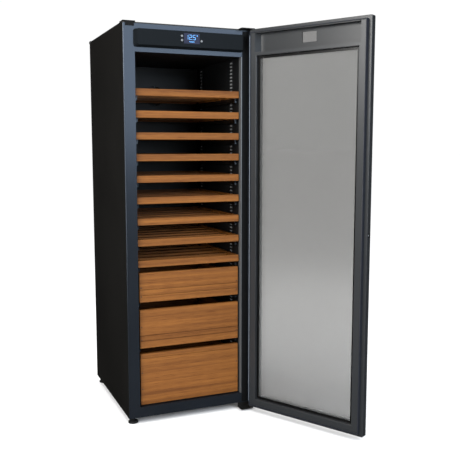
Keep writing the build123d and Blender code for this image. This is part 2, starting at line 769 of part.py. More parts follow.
def bracket_nose(z0, z1, rear):
    """Plate that reaches forward to the hinge pin, with a rounded end."""
    left = SIDE_X - BRACKET_LENGTH
    right = HINGE_X + BRACKET_NOSE
    plate = block(left, right, HINGE_Y, rear, z0, z1)
    nose = block(left, HINGE_X, HINGE_Y - BRACKET_NOSE, HINGE_Y, z0, z1)
    return plate + nose + rod_z(HINGE_X, HINGE_Y, z0, z1, BRACKET_NOSE)


def make_top_bracket():
    """Upper hinge bracket, let into the lid, with its pin and two screw heads."""
    bracket = bracket_nose(TOP_BRACKET_LOW, COVER_TOP, FACE_Y + BRACKET_REAR)
    bracket += rod_z(HINGE_X, HINGE_Y, DOOR_TOP - PIN_REACH, TOP_BRACKET_LOW, PIN_RADIUS)
    middle = SIDE_X - BRACKET_LENGTH / 2
    for x in (middle - SCREW_SPREAD, middle + SCREW_SPREAD):
        y = FACE_Y + BRACKET_REAR / 2
        bracket += rod_z(x, y, COVER_TOP, COVER_TOP + SCREW_HEAD_HEIGHT, SCREW_HEAD_RADIUS)
    return bracket


def make_bottom_bracket():
    """Lower hinge bracket: fixed under the case, stepped down and forward under the door."""
    top = DOOR_BOTTOM - BRACKET_PLATE
    web_back = FACE_Y + 2 * BRACKET_PLATE
    web_front = web_back - BRACKET_PLATE
    left = SIDE_X - BRACKET_LENGTH
    bracket = bracket_nose(top - BRACKET_PLATE, top, web_back)
    bracket += block(left, SIDE_X - SKIN, web_front, web_back, top - BRACKET_PLATE, BASE_Z)
    under = BASE_Z - FACE_PLATE
    bracket += block(left, SIDE_X - SKIN, web_back, FACE_Y + BRACKET_REAR, under, BASE_Z)
    bracket += rod_z(HINGE_X, HINGE_Y, top, DOOR_BOTTOM + PIN_REACH, PIN_RADIUS)
    clear = FOOT_STUD_RADIUS + FOOT_STUD_FIT
    return bracket - rod_z(FOOT_X, -FOOT_Y, under - 1, BASE_Z + 1, clear)


def make_hinge_cover():
    """Cap over the unused hinge holes at the other top corner, with a tab on the face."""
    front = FACE_Y - COVER_WALL
    left = -SIDE_X
    top = COVER_TOP + COVER_PLATE
    cap = block(left, left + COVER_LENGTH, front, FACE_Y + COVER_LENGTH, COVER_TOP, top)
    tab_left = left + COVER_TAB_INSET
    tab = block(
        tab_left, tab_left + COVER_TAB_WIDTH, front, FACE_Y, TOP_Z - COVER_TAB_DROP, COVER_TOP
    )
    return cap + tab


# ---- Cold air unit and machine ------------------------------------------------------------

DUCT_X = OPEN_X - DUCT_SIDE_SPACE
DUCT_FRONT = CAVITY_BACK - DUCT_DEPTH
DUCT_LOW = STEP_Z + DUCT_FLOOR_SPACE
DUCT_HIGH = OPEN_TOP - DUCT_TOP_SPACE
FAN_Z = DUCT_HIGH - FAN_DROP


def make_air_duct():
    """Cover on the back wall with a round fan outlet above and intake slots below."""
    duct = block(-DUCT_X, DUCT_X, DUCT_FRONT, CAVITY_BACK, DUCT_LOW, DUCT_HIGH)
    duct -= block(
        -DUCT_X + DUCT_WALL,
        DUCT_X - DUCT_WALL,
        DUCT_FRONT + DUCT_WALL,
        CAVITY_BACK + 1,
        DUCT_LOW + DUCT_WALL,
        DUCT_HIGH - DUCT_WALL,
    )
    duct -= rod_y(0, FAN_Z, DUCT_FRONT - 1, DUCT_FRONT + DUCT_WALL + 1, FAN_HOLE_RADIUS)
    x = INTAKE_WIDTH / 2
    for i in range(INTAKE_SLOTS):
        z = DUCT_LOW + (2 * i + 3) * INTAKE_HEIGHT
        duct -= block(-x, x, DUCT_FRONT - 1, DUCT_FRONT + DUCT_WALL + 1, z, z + INTAKE_HEIGHT)
    return duct


def make_fan_motor():
    """Fan motor on the back wall, with its shaft pointing forward."""
    front = CAVITY_BACK - MOTOR_DEPTH
    motor = rod_y(0, FAN_Z, front, CAVITY_BACK, MOTOR_RADIUS)
    motor = fillet(motor.edges().group_by(Axis.Y)[0], MOTOR_EDGE_RADIUS)
    return motor + rod_y(0, FAN_Z, DUCT_FRONT + DUCT_WALL + 1, front, SHAFT_RADIUS)


def make_fan():
    """Impeller: a bored hub with tilted blades."""
    rear = CAVITY_BACK - MOTOR_DEPTH - FAN_GAP
    centre = rear - FAN_DEPTH / 2
    hub = rod_y(0, FAN_Z, rear - FAN_DEPTH, rear, FAN_HUB_RADIUS)
    reach = FAN_RADIUS - FAN_HUB_RADIUS + FAN_BLADE_ROOT
    width = 2 * FAN_DEPTH * tan(radians(FAN_BLADE_TILT))
    blade = Box(reach, width, FAN_BLADE_THICKNESS)
    blade = Pos(FAN_RADIUS - reach / 2, 0, 0) * Rot(FAN_BLADE_TILT, 0, 0) * blade
    for i in range(FAN_BLADES):
        turn = Rot(0, 360 * i / FAN_BLADES, 0)
        hub += Pos(0, centre, FAN_Z) * turn * Rot(90, 0, 0) * blade
    return hub - rod_y(0, FAN_Z, rear - FAN_DEPTH - 1, rear + 1, SHAFT_RADIUS + SHAFT_FIT)


def serpentine(left, right, low, runs, pitch, y, radius):
    """A tube folded back and forth in an upright plane."""
    points = []
    for i in range(runs):
        ends = [(left, y, low + i * pitch), (right, y, low + i * pitch)]
        points += ends if i % 2 == 0 else ends[::-1]
    path = FilletPolyline(*points, radius=pitch * 0.45)
    start = Plane(path @ 0, z_dir=path % 0)
    return sweep(start * Circle(radius), path=path)


def make_evaporator():
    """Cold plate behind the duct, with its refrigerant tube bonded to the front."""
    plate_back = CAVITY_BACK - EVAPORATOR_TUBE
    plate_front = plate_back - EVAPORATOR_PLATE
    low = DUCT_LOW + EVAPORATOR_RISE
    height = (EVAPORATOR_RUNS - 1) * EVAPORATOR_PITCH
    x = DUCT_X - EVAPORATOR_SIDE_GAP
    margin = EVAPORATOR_PITCH / 2
    plate = block(-x, x, plate_front, plate_back, low - margin, low + height + margin)
    tube_y = plate_front + EVAPORATOR_PLATE / 2 - EVAPORATOR_TUBE
    run = x - margin
    return plate + serpentine(
        -run, run, low, EVAPORATOR_RUNS, EVAPORATOR_PITCH, tube_y, EVAPORATOR_TUBE
    )


def make_compressor():
    """Hermetic compressor: a domed hollow shell on a mounting plate with four posts."""
    y = BACK_Y - COMPRESSOR_REAR_GAP - COMPRESSOR_RADIUS
    floor = BASE_Z + BASE_SHEET
    plate_low = floor + MOUNT_POST_HEIGHT
    plate_top = plate_low + FACE_PLATE
    inner = COMPRESSOR_RADIUS - COMPRESSOR_SHELL
    shell = rod_z(COMPRESSOR_X, y, plate_top, plate_top + COMPRESSOR_HEIGHT, COMPRESSOR_RADIUS)
    shell = fillet(shell.edges().group_by(Axis.Z)[-1], COMPRESSOR_DOME)
    hollow = rod_z(
        COMPRESSOR_X,
        y,
        plate_top + COMPRESSOR_SHELL,
        plate_top + COMPRESSOR_HEIGHT - COMPRESSOR_SHELL,
        inner,
    )
    hollow = fillet(hollow.edges().group_by(Axis.Z)[-1], COMPRESSOR_DOME - COMPRESSOR_SHELL)
    reach = COMPRESSOR_RADIUS + MOUNT_OVERHANG
    base = block(
        COMPRESSOR_X - reach,
        COMPRESSOR_X + reach,
        y - MOUNT_HALF_DEPTH,
        y + MOUNT_HALF_DEPTH,
        plate_low,
        plate_top,
    )
    body = shell + base - hollow
    for across in (-1, 1):
        for along in (-1, 1):
            post_x = COMPRESSOR_X + across * (reach - MOUNT_POST_INSET)
            post_y = y + along * (MOUNT_HALF_DEPTH - MOUNT_POST_INSET)
            body += rod_z(post_x, post_y, floor, plate_low, MOUNT_POST_RADIUS)
    return body


def make_condenser():
    """Wire-and-tube condenser that stands in the machine compartment."""
    y = BACK_Y - CONDENSER_REAR_GAP
    floor = BASE_Z + BASE_SHEET
    left = COMPRESSOR_X + COMPRESSOR_RADIUS + MOUNT_OVERHANG + CONDENSER_SIDE_GAP
    right = SIDE_X - COMPARTMENT_SIDE - CONDENSER_SIDE_GAP
    low = floor + CONDENSER_RISE
    tube = serpentine(left, right, low, CONDENSER_RUNS, CONDENSER_PITCH, y, CONDENSER_TUBE)
    high = low + (CONDENSER_RUNS - 1) * CONDENSER_PITCH
    wire_y = y - CONDENSER_WIRE_LEAD
    wire_top = high + CONDENSER_PITCH / 3
    span = right - left - CONDENSER_PITCH * 2
    for i in range(CONDENSER_WIRES):
        x = left + CONDENSER_PITCH + span * i / (CONDENSER_WIRES - 1)
        tube += rod_z(x, wire_y, floor, wire_top, CONDENSER_WIRE_RADIUS)
    return tube


def make_inlet():
    """Power inlet in the rear sheet: a flanged body with a recess and three blades."""
    half = INLET_WIDTH / 2
    rise = INLET_HEIGHT / 2
    left, right = INLET_X - half, INLET_X + half
    low, high = INLET_Z - rise, INLET_Z + rise
    front = BACK_Y - INLET_DEPTH
    back = BACK_Y + INLET_FLANGE
    wall = INLET_WALL
    socket = block(left, right, front, BACK_Y, low, high)
    socket += block(left - wall, right + wall, BACK_Y, back, low - wall, high + wall)
    socket -= block(left + wall, right - wall, front + wall, back + 1, low + wall, high - wall)
    for offset in (-BLADE_PITCH, 0, BLADE_PITCH):
        x = INLET_X + offset
        z = (INLET_Z - BLADE_HEIGHT / 2, INLET_Z + BLADE_HEIGHT / 2)
        blade_half = BLADE_WIDTH / 2
        socket += block(x - blade_half, x + blade_half, front + wall, BACK_Y - wall, *z)
    return socket


# ---- Everything written out ---------------------------------------------------------------

os.makedirs("parts", exist_ok=True)

save("side_panels", *make_side_panels())
save("top_cover", make_top_cover())
save("back_panel", make_back_panel())
save("base_plate", make_base_plate())
save("insulation_foam", make_insulation())
save("inner_liner", make_inner_liner())
save("front_frame", make_front_frame())
save("levelling_feet", *make_feet())
save("shelf_standards", *make_standards())
save("control_panel", make_control_panel())
save("display_window", make_display_window())
for name, (button_x, button_z) in BUTTONS.items():
    save(name, make_button(button_x, button_z))
save("top_hinge_bracket", make_top_bracket())
save("bottom_hinge_bracket", make_bottom_bracket())
save("hinge_hole_cover", make_hinge_cover())
save("air_duct", make_air_duct())
save("fan_motor", make_fan_motor())
save("fan_impeller", make_fan())
save("evaporator", make_evaporator())
save("compressor", make_compressor())
save("condenser", make_condenser())
save("power_inlet", make_inlet())

save("door_frame", open_door(make_door_frame()))
save("door_liner", open_door(make_door_liner()))
save("door_gasket", *[open_door(bar) for bar in make_gasket()])
save("outer_glass", open_door(outer_glass_blank()))
save("inner_glass", open_door(make_inner_glass()))
save("glass_spacer", *[open_door(bar) for bar in make_spacer()])
save("hinge_bushes", *[open_door(bush) for bush in make_bushes()])
save("lock_barrel", open_door(make_lock()))

channels = []
level = OPEN_BOTTOM + DRAWER_FLOOR_GAP
for drawer in DRAWERS:
    short = drawer["skirt"] > 0
    back_end = STEP_Y - DRAWER_STEP_GAP if short else REAR_Y
    support = level + drawer["skirt"]
    box_height = drawer["height"] - drawer["skirt"] - DRAWER_WALL_DROP
    name = f"drawer_{drawer['number']}"
    save(f"{name}_front", make_drawer_front(level, drawer))
    save(f"{name}_box", *make_drawer_box(support, box_height, back_end))
    save(f"{name}_slides", *make_slide(support, back_end))
    channels += make_channel(support, back_end)
    level += drawer["height"] + drawer["gap"]

highest = OPEN_TOP - SHELF_TOP_SPACE - FASCIA_HEIGHT
shelf_pitch = (highest - level) / (SHELF_COUNT - 1)
for number in range(1, SHELF_COUNT + 1):
    support = highest - (number - 1) * shelf_pitch
    save(f"shelf_{number}", *make_shelf(support))
    save(f"shelf_{number}_slides", *make_slide(support, REAR_Y))
    channels += make_channel(support, REAR_Y)
save("runner_channels", *channels)
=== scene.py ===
import json
import math
import bpy
from mathutils import Matrix, Vector


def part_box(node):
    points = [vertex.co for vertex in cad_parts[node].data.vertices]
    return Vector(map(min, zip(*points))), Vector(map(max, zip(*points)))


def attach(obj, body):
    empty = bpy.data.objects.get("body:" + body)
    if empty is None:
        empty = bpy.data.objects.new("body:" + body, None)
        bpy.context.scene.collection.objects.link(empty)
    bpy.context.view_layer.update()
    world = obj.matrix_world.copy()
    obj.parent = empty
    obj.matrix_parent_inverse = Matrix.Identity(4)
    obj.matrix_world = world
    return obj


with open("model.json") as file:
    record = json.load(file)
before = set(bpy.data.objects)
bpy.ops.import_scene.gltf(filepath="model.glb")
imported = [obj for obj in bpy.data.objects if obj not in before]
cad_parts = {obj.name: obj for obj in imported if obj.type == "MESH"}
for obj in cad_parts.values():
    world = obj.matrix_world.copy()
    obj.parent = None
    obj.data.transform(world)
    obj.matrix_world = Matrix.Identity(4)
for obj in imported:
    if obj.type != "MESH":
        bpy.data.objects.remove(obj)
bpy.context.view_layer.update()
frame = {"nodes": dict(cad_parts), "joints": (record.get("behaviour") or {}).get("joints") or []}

# Camera: in front of the cooler and to its left, turned right towards it and a little down.
# It gives the picture its viewing angle.
eye = (-1.056, -3.2985, 1.2485)
view_down = 6.84
view_right = 22.83
focal_length = 54.93
camera_data = bpy.data.cameras.new("camera")
camera_data.lens = focal_length
camera = bpy.data.objects.new("camera", camera_data)
camera.location = eye
camera.rotation_euler = (math.radians(90 - view_down), 0, -math.radians(view_right))
bpy.context.scene.collection.objects.link(camera)
bpy.context.scene.camera = camera

# Studio: a white surround that lights softly but is not mirrored in the dark paint, so that
# only the softboxes draw highlights. The floor is matt white card.
surround_strength = 1.03
card_size = 300
scene = bpy.context.scene
scene.view_settings.view_transform = "Standard"
world = bpy.data.worlds.new("studio")
world.use_nodes = True
world.node_tree.nodes["Background"].inputs["Color"].default_value = (1, 1, 1, 1)
world.node_tree.nodes["Background"].inputs["Strength"].default_value = surround_strength
world.cycles_visibility.glossy = False
scene.world = world


def softbox(name, place, aim, size, watts, colour):
    """One soft rectangular lamp, aimed at a point."""
    lamp = bpy.data.lights.new(name, "AREA")
    lamp.shape = "RECTANGLE"
    lamp.size, lamp.size_y = size
    lamp.energy = watts
    lamp.color = colour
    holder = bpy.data.objects.new(name, lamp)
    holder.location = place
    way = Vector(aim) - Vector(place)
    holder.rotation_euler = way.to_track_quat("-Z", "Y").to_euler()
    scene.collection.objects.link(holder)


softbox("key_softbox", (-3.2, -1.85, 2.5), (0.5, -0.8, 1.5), (1.5, 1.3), 95, (1.0, 0.99, 0.97))
softbox("edge_softbox", (-2.4, -2.5, 1.3), (-0.3, -0.34, 1.1), (0.3, 2.2), 40, (1.0, 1.0, 1.0))
softbox("front_softbox", (1.4, -4.6, 2.45), (0.0, -0.3, 1.3), (2.4, 2.6), 102, (0.76, 0.87, 1.0))
softbox("top_softbox", (0.0, -0.4, 3.9), (0.0, -0.2, 0.0), (2.2, 2.2), 60, (1.0, 1.0, 1.0))


def linear(colour):
    """An sRGB hex colour as linear RGBA."""
    parts = [int(colour[i:i + 2], 16) / 255 for i in (1, 3, 5)]
    return (*[p / 12.92 if p < 0.04045 else ((p + 0.055) / 1.055) ** 2.4 for p in parts], 1)


def node(tree, kind, inputs=None, **settings):
    """Adds one shader node with its settings; an input is a value or another node's output."""
    made = tree.nodes.new(kind)
    for name, value in settings.items():
        setattr(made, name, value)
    for key, value in (inputs or {}).items():
        if isinstance(value, bpy.types.NodeSocket):
            tree.links.new(value, made.inputs[key])
        else:
            made.inputs[key].default_value = value
    return made


def start_material(name, **values):
    """A new material and its Principled shader, with constant values on the shader's sockets."""
    material = bpy.data.materials.new(name)
    material.use_nodes = True
    shader = material.node_tree.nodes["Principled BSDF"]
    for key, value in values.items():
        shader.inputs[key.replace("_", " ")].default_value = value
    return material, material.node_tree, shader


def finish_nodes(material, *names):
    """Gives a material to CAD nodes."""
    for name in names:
        for slot in frame["nodes"][name].material_slots:
            slot.material = material


bpy.ops.object.select_all(action="DESELECT")
bpy.ops.mesh.primitive_plane_add(size=card_size, location=(0, 0, 0))
floor = bpy.context.active_object
floor.name = "floor"
floor.visible_glossy = False
card, _, card_shader = start_material("white_card_matt", Roughness=0.9)
card_shader.inputs["Specular IOR Level"].default_value = 0.0
card_shader.inputs["Base Color"].default_value = linear("#FEFEFE")
floor.data.materials.append(card)

# Case sides, back, base and hinge brackets: sheet and plate steel, powder coated black. The
# coat is satin, slightly uneven, and has a faint orange peel.
coat_grain = 0.0025
coat_cloud = 0.4
black_coat, tree, shader = start_material("powder_coated_steel_black", Roughness=0.42)
shader.inputs["Specular IOR Level"].default_value = 0.35
where = node(tree, "ShaderNodeTexCoord")
patches = node(
    tree,
    "ShaderNodeTexNoise",
    {"Vector": where.outputs["Object"], "Scale": 1 / coat_cloud, "Detail": 3.0},
)
tint = node(tree, "ShaderNodeValToRGB", {"Fac": patches.outputs["Fac"]})
tint.color_ramp.elements[0].color = linear("#131211")
tint.color_ramp.elements[1].color = linear("#1D1C1A")
tree.links.new(tint.outputs["Color"], shader.inputs["Base Color"])
peel = node(
    tree,
    "ShaderNodeTexNoise",
    {"Vector": where.outputs["Object"], "Scale": 1 / coat_grain, "Detail": 2.0},
)
rough = node(
    tree,
    "ShaderNodeMapRange",
    {"Value": peel.outputs["Fac"], "To Min": 0.38, "To Max": 0.50},
)
tree.links.new(rough.outputs["Result"], shader.inputs["Roughness"])
bump = node(
    tree,
    "ShaderNodeBump",
    {"Height": peel.outputs["Fac"], "Strength": 0.12, "Distance": 0.0003},
)
tree.links.new(bump.outputs["Normal"], shader.inputs["Normal"])
finish_nodes(black_coat, "side_panels", "back_panel", "base_plate")
finish_nodes(black_coat, "top_hinge_bracket", "bottom_hinge_bracket")

# Face of the case: folded steel plate round the opening, in a smooth satin paint that is a
# little bluer and glossier than the sides.
mm_per_metre = 1000
face_peel = 0.004
face_clouds_per_mm = 0.003
face_paint, tree, shader = start_material("satin_enamelled_steel", Roughness=0.3)
shader.inputs["Specular Tint"].default_value = linear("#CFE0F6")
shader.inputs["Coat Weight"].default_value = 0.2
shader.inputs["Coat Roughness"].default_value = 0.2
shader.inputs["Coat Tint"].default_value = linear("#D8E6FA")
where = node(tree, "ShaderNodeTexCoord")
patches = node(
    tree,
    "ShaderNodeTexNoise",
    {"Vector": where.outputs["Object"], "Scale": mm_per_metre * face_clouds_per_mm},
)
tint = node(tree, "ShaderNodeValToRGB", {"Fac": patches.outputs["Fac"]})
tint.color_ramp.elements[0].color = linear("#16181B")
tint.color_ramp.elements[1].color = linear("#1C1F23")
tree.links.new(tint.outputs["Color"], shader.inputs["Base Color"])
peel = node(
    tree,
    "ShaderNodeTexNoise",
    {"Vector": where.outputs["Object"], "Scale": 1 / face_peel, "Detail": 1.0},
)
bump = node(
    tree,
    "ShaderNodeBump",
    {"Height": peel.outputs["Fac"], "Strength": 0.06, "Distance": 0.0003},
)
tree.links.new(bump.outputs["Normal"], shader.inputs["Normal"])
finish_nodes(face_paint, "front_frame")

# Lid, feet, power inlet and fan impeller: injection moulded black ABS. The mould is spark
# eroded, which leaves a fine dull grain.
erosion_grain = 0.0016
moulded, tree, shader = start_material("abs_moulded_eroded_black", Roughness=0.5)
where = node(tree, "ShaderNodeTexCoord")
grain = node(
    tree,
    "ShaderNodeTexVoronoi",
    {"Vector": where.outputs["Object"], "Scale": 1 / erosion_grain},
)
tint = node(tree, "ShaderNodeValToRGB", {"Fac": grain.outputs["Distance"]})
tint.color_ramp.elements[0].color = linear("#121313")
tint.color_ramp.elements[1].color = linear("#1B1C1D")
tree.links.new(tint.outputs["Color"], shader.inputs["Base Color"])
bump = node(
    tree,
    "ShaderNodeBump",
    {"Height": grain.outputs["Distance"], "Strength": 0.15, "Distance": 0.0002},
)
tree.links.new(bump.outputs["Normal"], shader.inputs["Normal"])
finish_nodes(moulded, "top_cover", "levelling_feet", "power_inlet", "fan_impeller")

# Inner liner and air duct: black polystyrene sheet, heated and drawn over a mould. It is
# satin, with a soft uneven haze.
haze_per_mm = 0.006
liner, tree, shader = start_material("polystyrene_thermoformed_black", Roughness=0.45)
shader.inputs["Specular IOR Level"].default_value = 0.3
where = node(tree, "ShaderNodeTexCoord")
haze = node(
    tree,
    "ShaderNodeTexNoise",
    {"Vector": where.outputs["Object"], "Scale": mm_per_metre * haze_per_mm},
)
tint = node(tree, "ShaderNodeValToRGB", {"Fac": haze.outputs["Fac"]})
tint.color_ramp.elements[0].color = linear("#111213")
tint.color_ramp.elements[1].color = linear("#1A1B1C")
tree.links.new(tint.outputs["Color"], shader.inputs["Base Color"])
rough = node(
    tree,
    "ShaderNodeMapRange",
    {"Value": haze.outputs["Fac"], "To Min": 0.36, "To Max": 0.55},
)
tree.links.new(rough.outputs["Result"], shader.inputs["Roughness"])
finish_nodes(liner, "inner_liner", "air_duct")

# Runner channels and slides: roll-formed steel, zinc plated, with a cool sheen. Fine drawing
# lines run along the profiles, drawn coarser than the real ones so that they show.
rolled_lines_per_mm = 0.9
rolled_lines_along = 0.012
rolled_across = mm_per_metre * rolled_lines_per_mm
rolled_along = mm_per_metre * rolled_lines_along
plated, tree, shader = start_material("zinc_plated_steel_rolled", Metallic=1.0, Roughness=0.36)
where = node(tree, "ShaderNodeTexCoord")
stretch = node(
    tree,
    "ShaderNodeMapping",
    {"Vector": where.outputs["Object"], "Scale": (rolled_across, rolled_along, rolled_across)},
)
lines = node(
    tree,
    "ShaderNodeTexNoise",
    {"Vector": stretch.outputs["Vector"], "Scale": 1.0, "Detail": 2.0},
)
tint = node(tree, "ShaderNodeValToRGB", {"Fac": lines.outputs["Fac"]})
tint.color_ramp.elements[0].color = linear("#464B50")
tint.color_ramp.elements[1].color = linear("#656B71")
tree.links.new(tint.outputs["Color"], shader.inputs["Base Color"])
rough = node(
    tree,
    "ShaderNodeMapRange",
    {"Value": lines.outputs["Fac"], "To Min": 0.28, "To Max": 0.45},
)
tree.links.new(rough.outputs["Result"], shader.inputs["Roughness"])
finish_nodes(plated, "runner_channels")
storage = [f"shelf_{i}" for i in range(1, 10)] + [f"drawer_{i}" for i in range(1, 4)]
finish_nodes(plated, *[f"{name}_slides" for name in storage])

# Punched standards: galvanised strip steel, a dull matt grey. The holes are too small to show,
# so a band of painted shade, wider than a hole, is drawn at each in place of the dark inside it.
# It is measured from the foot of the front and middle standards, and misses the holes of the
# higher rear ones by 6 mm.
galvanised, tree, shader = start_material("steel_galvanised_matt", Metallic=0.3, Roughness=0.6)
hole_pitch = 0.016
hole_shade_edge = 0.22
land_edge = 0.38
standard_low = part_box("shelf_standards")[0]
where = node(tree, "ShaderNodeTexCoord")
split = node(tree, "ShaderNodeSeparateXYZ", {"Vector": where.outputs["Object"]})
rise = node(tree, "ShaderNodeMath", {0: split.outputs["Z"], 1: standard_low.z}, operation="SUBTRACT")
pitches = node(tree, "ShaderNodeMath", {0: rise.outputs[0], 1: hole_pitch}, operation="DIVIDE")
from_hole = node(tree, "ShaderNodeMath", {0: pitches.outputs[0], 1: 0.5}, operation="PINGPONG")
tint = node(tree, "ShaderNodeValToRGB", {"Fac": from_hole.outputs[0]})
# The dark colour is painted shade at the holes; the light one is the grey of the lands.
tint.color_ramp.elements[0].position = hole_shade_edge
tint.color_ramp.elements[0].color = linear("#0C0D0E")
tint.color_ramp.elements[1].position = land_edge
tint.color_ramp.elements[1].color = linear("#9A9D9E")
tree.links.new(tint.outputs["Color"], shader.inputs["Base Color"])
finish_nodes(galvanised, "shelf_standards")

# Fan motor, compressor and condenser: steel dipped in black enamel and stoved. It is glossy,
# with a slight ripple.
ripples_per_mm = 0.12
enamel, tree, shader = start_material("steel_stoved_enamel_black", Roughness=0.25)
where = node(tree, "ShaderNodeTexCoord")
ripple = node(
    tree,
    "ShaderNodeTexNoise",
    {"Vector": where.outputs["Object"], "Scale": mm_per_metre * ripples_per_mm},
)
tint = node(tree, "ShaderNodeValToRGB", {"Fac": ripple.outputs["Fac"]})
tint.color_ramp.elements[0].color = linear("#0C0C0D")
tint.color_ramp.elements[1].color = linear("#17181A")
tree.links.new(tint.outputs["Color"], shader.inputs["Base Color"])
bump = node(
    tree,
    "ShaderNodeBump",
    {"Height": ripple.outputs["Fac"], "Strength": 0.1, "Distance": 0.0004},
)
tree.links.new(bump.outputs["Normal"], shader.inputs["Normal"])
finish_nodes(enamel, "fan_motor", "compressor", "condenser")

# Evaporator and glass spacer: aluminium as it leaves the rolls, dull and a little streaked
# along their height.
streaks_per_mm = 0.4
streaks_along = 0.008
streak_across = mm_per_metre * streaks_per_mm
streak_along = mm_per_metre * streaks_along
mill, tree, shader = start_material("aluminium_mill_finish", Metallic=1.0, Roughness=0.4)
where = node(tree, "ShaderNodeTexCoord")
streak = node(
    tree,
    "ShaderNodeMapping",
    {"Vector": where.outputs["Object"], "Scale": (streak_across, streak_across, streak_along)},
)
lines = node(tree, "ShaderNodeTexNoise", {"Vector": streak.outputs["Vector"], "Scale": 1.0})
tint = node(tree, "ShaderNodeValToRGB", {"Fac": lines.outputs["Fac"]})
tint.color_ramp.elements[0].color = linear("#8E9092")
tint.color_ramp.elements[1].color = linear("#B4B6B8")
tree.links.new(tint.outputs["Color"], shader.inputs["Base Color"])
finish_nodes(mill, "evaporator", "glass_spacer")

# Insulation: rigid polyurethane foam, foamed in place between the skins and hidden by them.
# It is pale yellow, with small closed cells.
foam_cell = 0.0025
foam, tree, shader = start_material("polyurethane_foam_rigid", Roughness=0.85)
where = node(tree, "ShaderNodeTexCoord")
cells = node(
    tree,
    "ShaderNodeTexVoronoi",
    {"Vector": where.outputs["Object"], "Scale": 1 / foam_cell},
)
tint = node(tree, "ShaderNodeValToRGB", {"Fac": cells.outputs["Distance"]})
tint.color_ramp.elements[0].color = linear("#C9B27A")
tint.color_ramp.elements[1].color = linear("#E4D3A2")
tree.links.new(tint.outputs["Color"], shader.inputs["Base Color"])
finish_nodes(foam, "insulation_foam")

# Shelves and drawers: solid beech, sanded and oiled to a warm brown. The grain runs along
# each board: from side to side in fronts, slats and backs, and front to back in the rails.
board_grain = 0.006
board_length = 0.35
rail_width = 0.0152
front_tolerance = 0.0003
fibres_per_mm = 0.7
fibres_along = 0.014
fibre_across = mm_per_metre * fibres_per_mm
fibre_along = mm_per_metre * fibres_along
oiled, tree, shader = start_material("beech_sanded_oiled", Roughness=0.5)
shader.inputs["Specular IOR Level"].default_value = 0.18
where = node(tree, "ShaderNodeTexCoord")
split = node(tree, "ShaderNodeSeparateXYZ", {"Vector": where.outputs["Object"]})
out = node(tree, "ShaderNodeMath", {0: split.outputs["X"]}, operation="ABSOLUTE")
rail_low, rail_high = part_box("drawer_2_box")
rail_inner = rail_high.x - rail_width
at_side = node(tree, "ShaderNodeMath", {0: out.outputs[0], 1: rail_inner}, operation="GREATER_THAN")
behind_front = node(
    tree,
    "ShaderNodeMath",
    {0: split.outputs["Y"], 1: rail_low.y - front_tolerance},
    operation="GREATER_THAN",
)
is_rail = node(
    tree, "ShaderNodeMath", {0: at_side.outputs[0], 1: behind_front.outputs[0]}, operation="MULTIPLY"
)
turned = node(
    tree,
    "ShaderNodeCombineXYZ",
    {"X": split.outputs["Y"], "Y": split.outputs["X"], "Z": split.outputs["Z"]},
)
along = node(
    tree,
    "ShaderNodeMix",
    {"Factor": is_rail.outputs[0], 4: where.outputs["Object"], 5: turned.outputs["Vector"]},
    data_type="VECTOR",
)
board = node(
    tree,
    "ShaderNodeMapping",
    {"Vector": along.outputs[1], "Scale": (1 / board_length, 1 / board_grain, 1 / board_grain)},
)
figure = node(
    tree,
    "ShaderNodeTexNoise",
    {"Vector": board.outputs["Vector"], "Scale": 0.35, "Detail": 5.0, "Roughness": 0.6, "Distortion": 0.4},
)
fibre_place = node(
    tree,
    "ShaderNodeMapping",
    {"Vector": along.outputs[1], "Scale": (fibre_along, fibre_across, fibre_across)},
)
fibres = node(
    tree,
    "ShaderNodeTexNoise",
    {"Vector": fibre_place.outputs["Vector"], "Scale": 1.0, "Detail": 3.0},
)
tint = node(tree, "ShaderNodeValToRGB", {"Fac": figure.outputs["Fac"]})
tint.color_ramp.elements[0].position = 0.3
tint.color_ramp.elements[0].color = linear("#643B17")
tint.color_ramp.elements[1].position = 0.7
tint.color_ramp.elements[1].color = linear("#865524")
flecks = node(tree, "ShaderNodeValToRGB", {"Fac": fibres.outputs["Fac"]})
flecks.color_ramp.elements[0].position = 0.28
flecks.color_ramp.elements[0].color = linear("#A58468")
flecks.color_ramp.elements[1].position = 0.5
flecks.color_ramp.elements[1].color = linear("#FFFFFF")
wood_colour = node(
    tree,
    "ShaderNodeMix",
    {"Factor": 0.8, 6: tint.outputs["Color"], 7: flecks.outputs["Color"]},
    data_type="RGBA",
    blend_type="MULTIPLY",
)
tree.links.new(wood_colour.outputs[2], shader.inputs["Base Color"])
rough = node(
    tree,
    "ShaderNodeMapRange",
    {"Value": fibres.outputs["Fac"], "To Min": 0.6, "To Max": 0.42},
)
tree.links.new(rough.outputs["Result"], shader.inputs["Roughness"])
bump = node(
    tree,
    "ShaderNodeBump",
    {"Height": fibres.outputs["Fac"], "Strength": 0.25, "Distance": 0.0003},
)
tree.links.new(bump.outputs["Normal"], shader.inputs["Normal"])
finish_nodes(oiled, *[f"shelf_{i}" for i in range(1, 10)])
for number in (1, 2, 3):
    finish_nodes(oiled, f"drawer_{number}_front", f"drawer_{number}_box")

# Control panel: a housing of black ABS on the header of the case. It is moulded with a fine
# satin grain.
panel_grains_per_mm = 0.7
panel_paint, tree, shader = start_material("abs_moulded_satin_black", Roughness=0.5)
shader.inputs["Specular IOR Level"].default_value = 0.05
where = node(tree, "ShaderNodeTexCoord")
grain = node(
    tree,
    "ShaderNodeTexNoise",
    {"Vector": where.outputs["Object"], "Scale": mm_per_metre * panel_grains_per_mm},
)
tint = node(tree, "ShaderNodeValToRGB", {"Fac": grain.outputs["Fac"]})
tint.color_ramp.elements[0].color = linear("#101316")
tint.color_ramp.elements[1].color = linear("#161A1D")
tree.links.new(tint.outputs["Color"], shader.inputs["Base Color"])
bump = node(
    tree,
    "ShaderNodeBump",
    {"Height": grain.outputs["Fac"], "Strength": 0.1, "Distance": 0.0002},
)
tree.links.new(bump.outputs["Normal"], shader.inputs["Normal"])
finish_nodes(panel_paint, "control_panel")

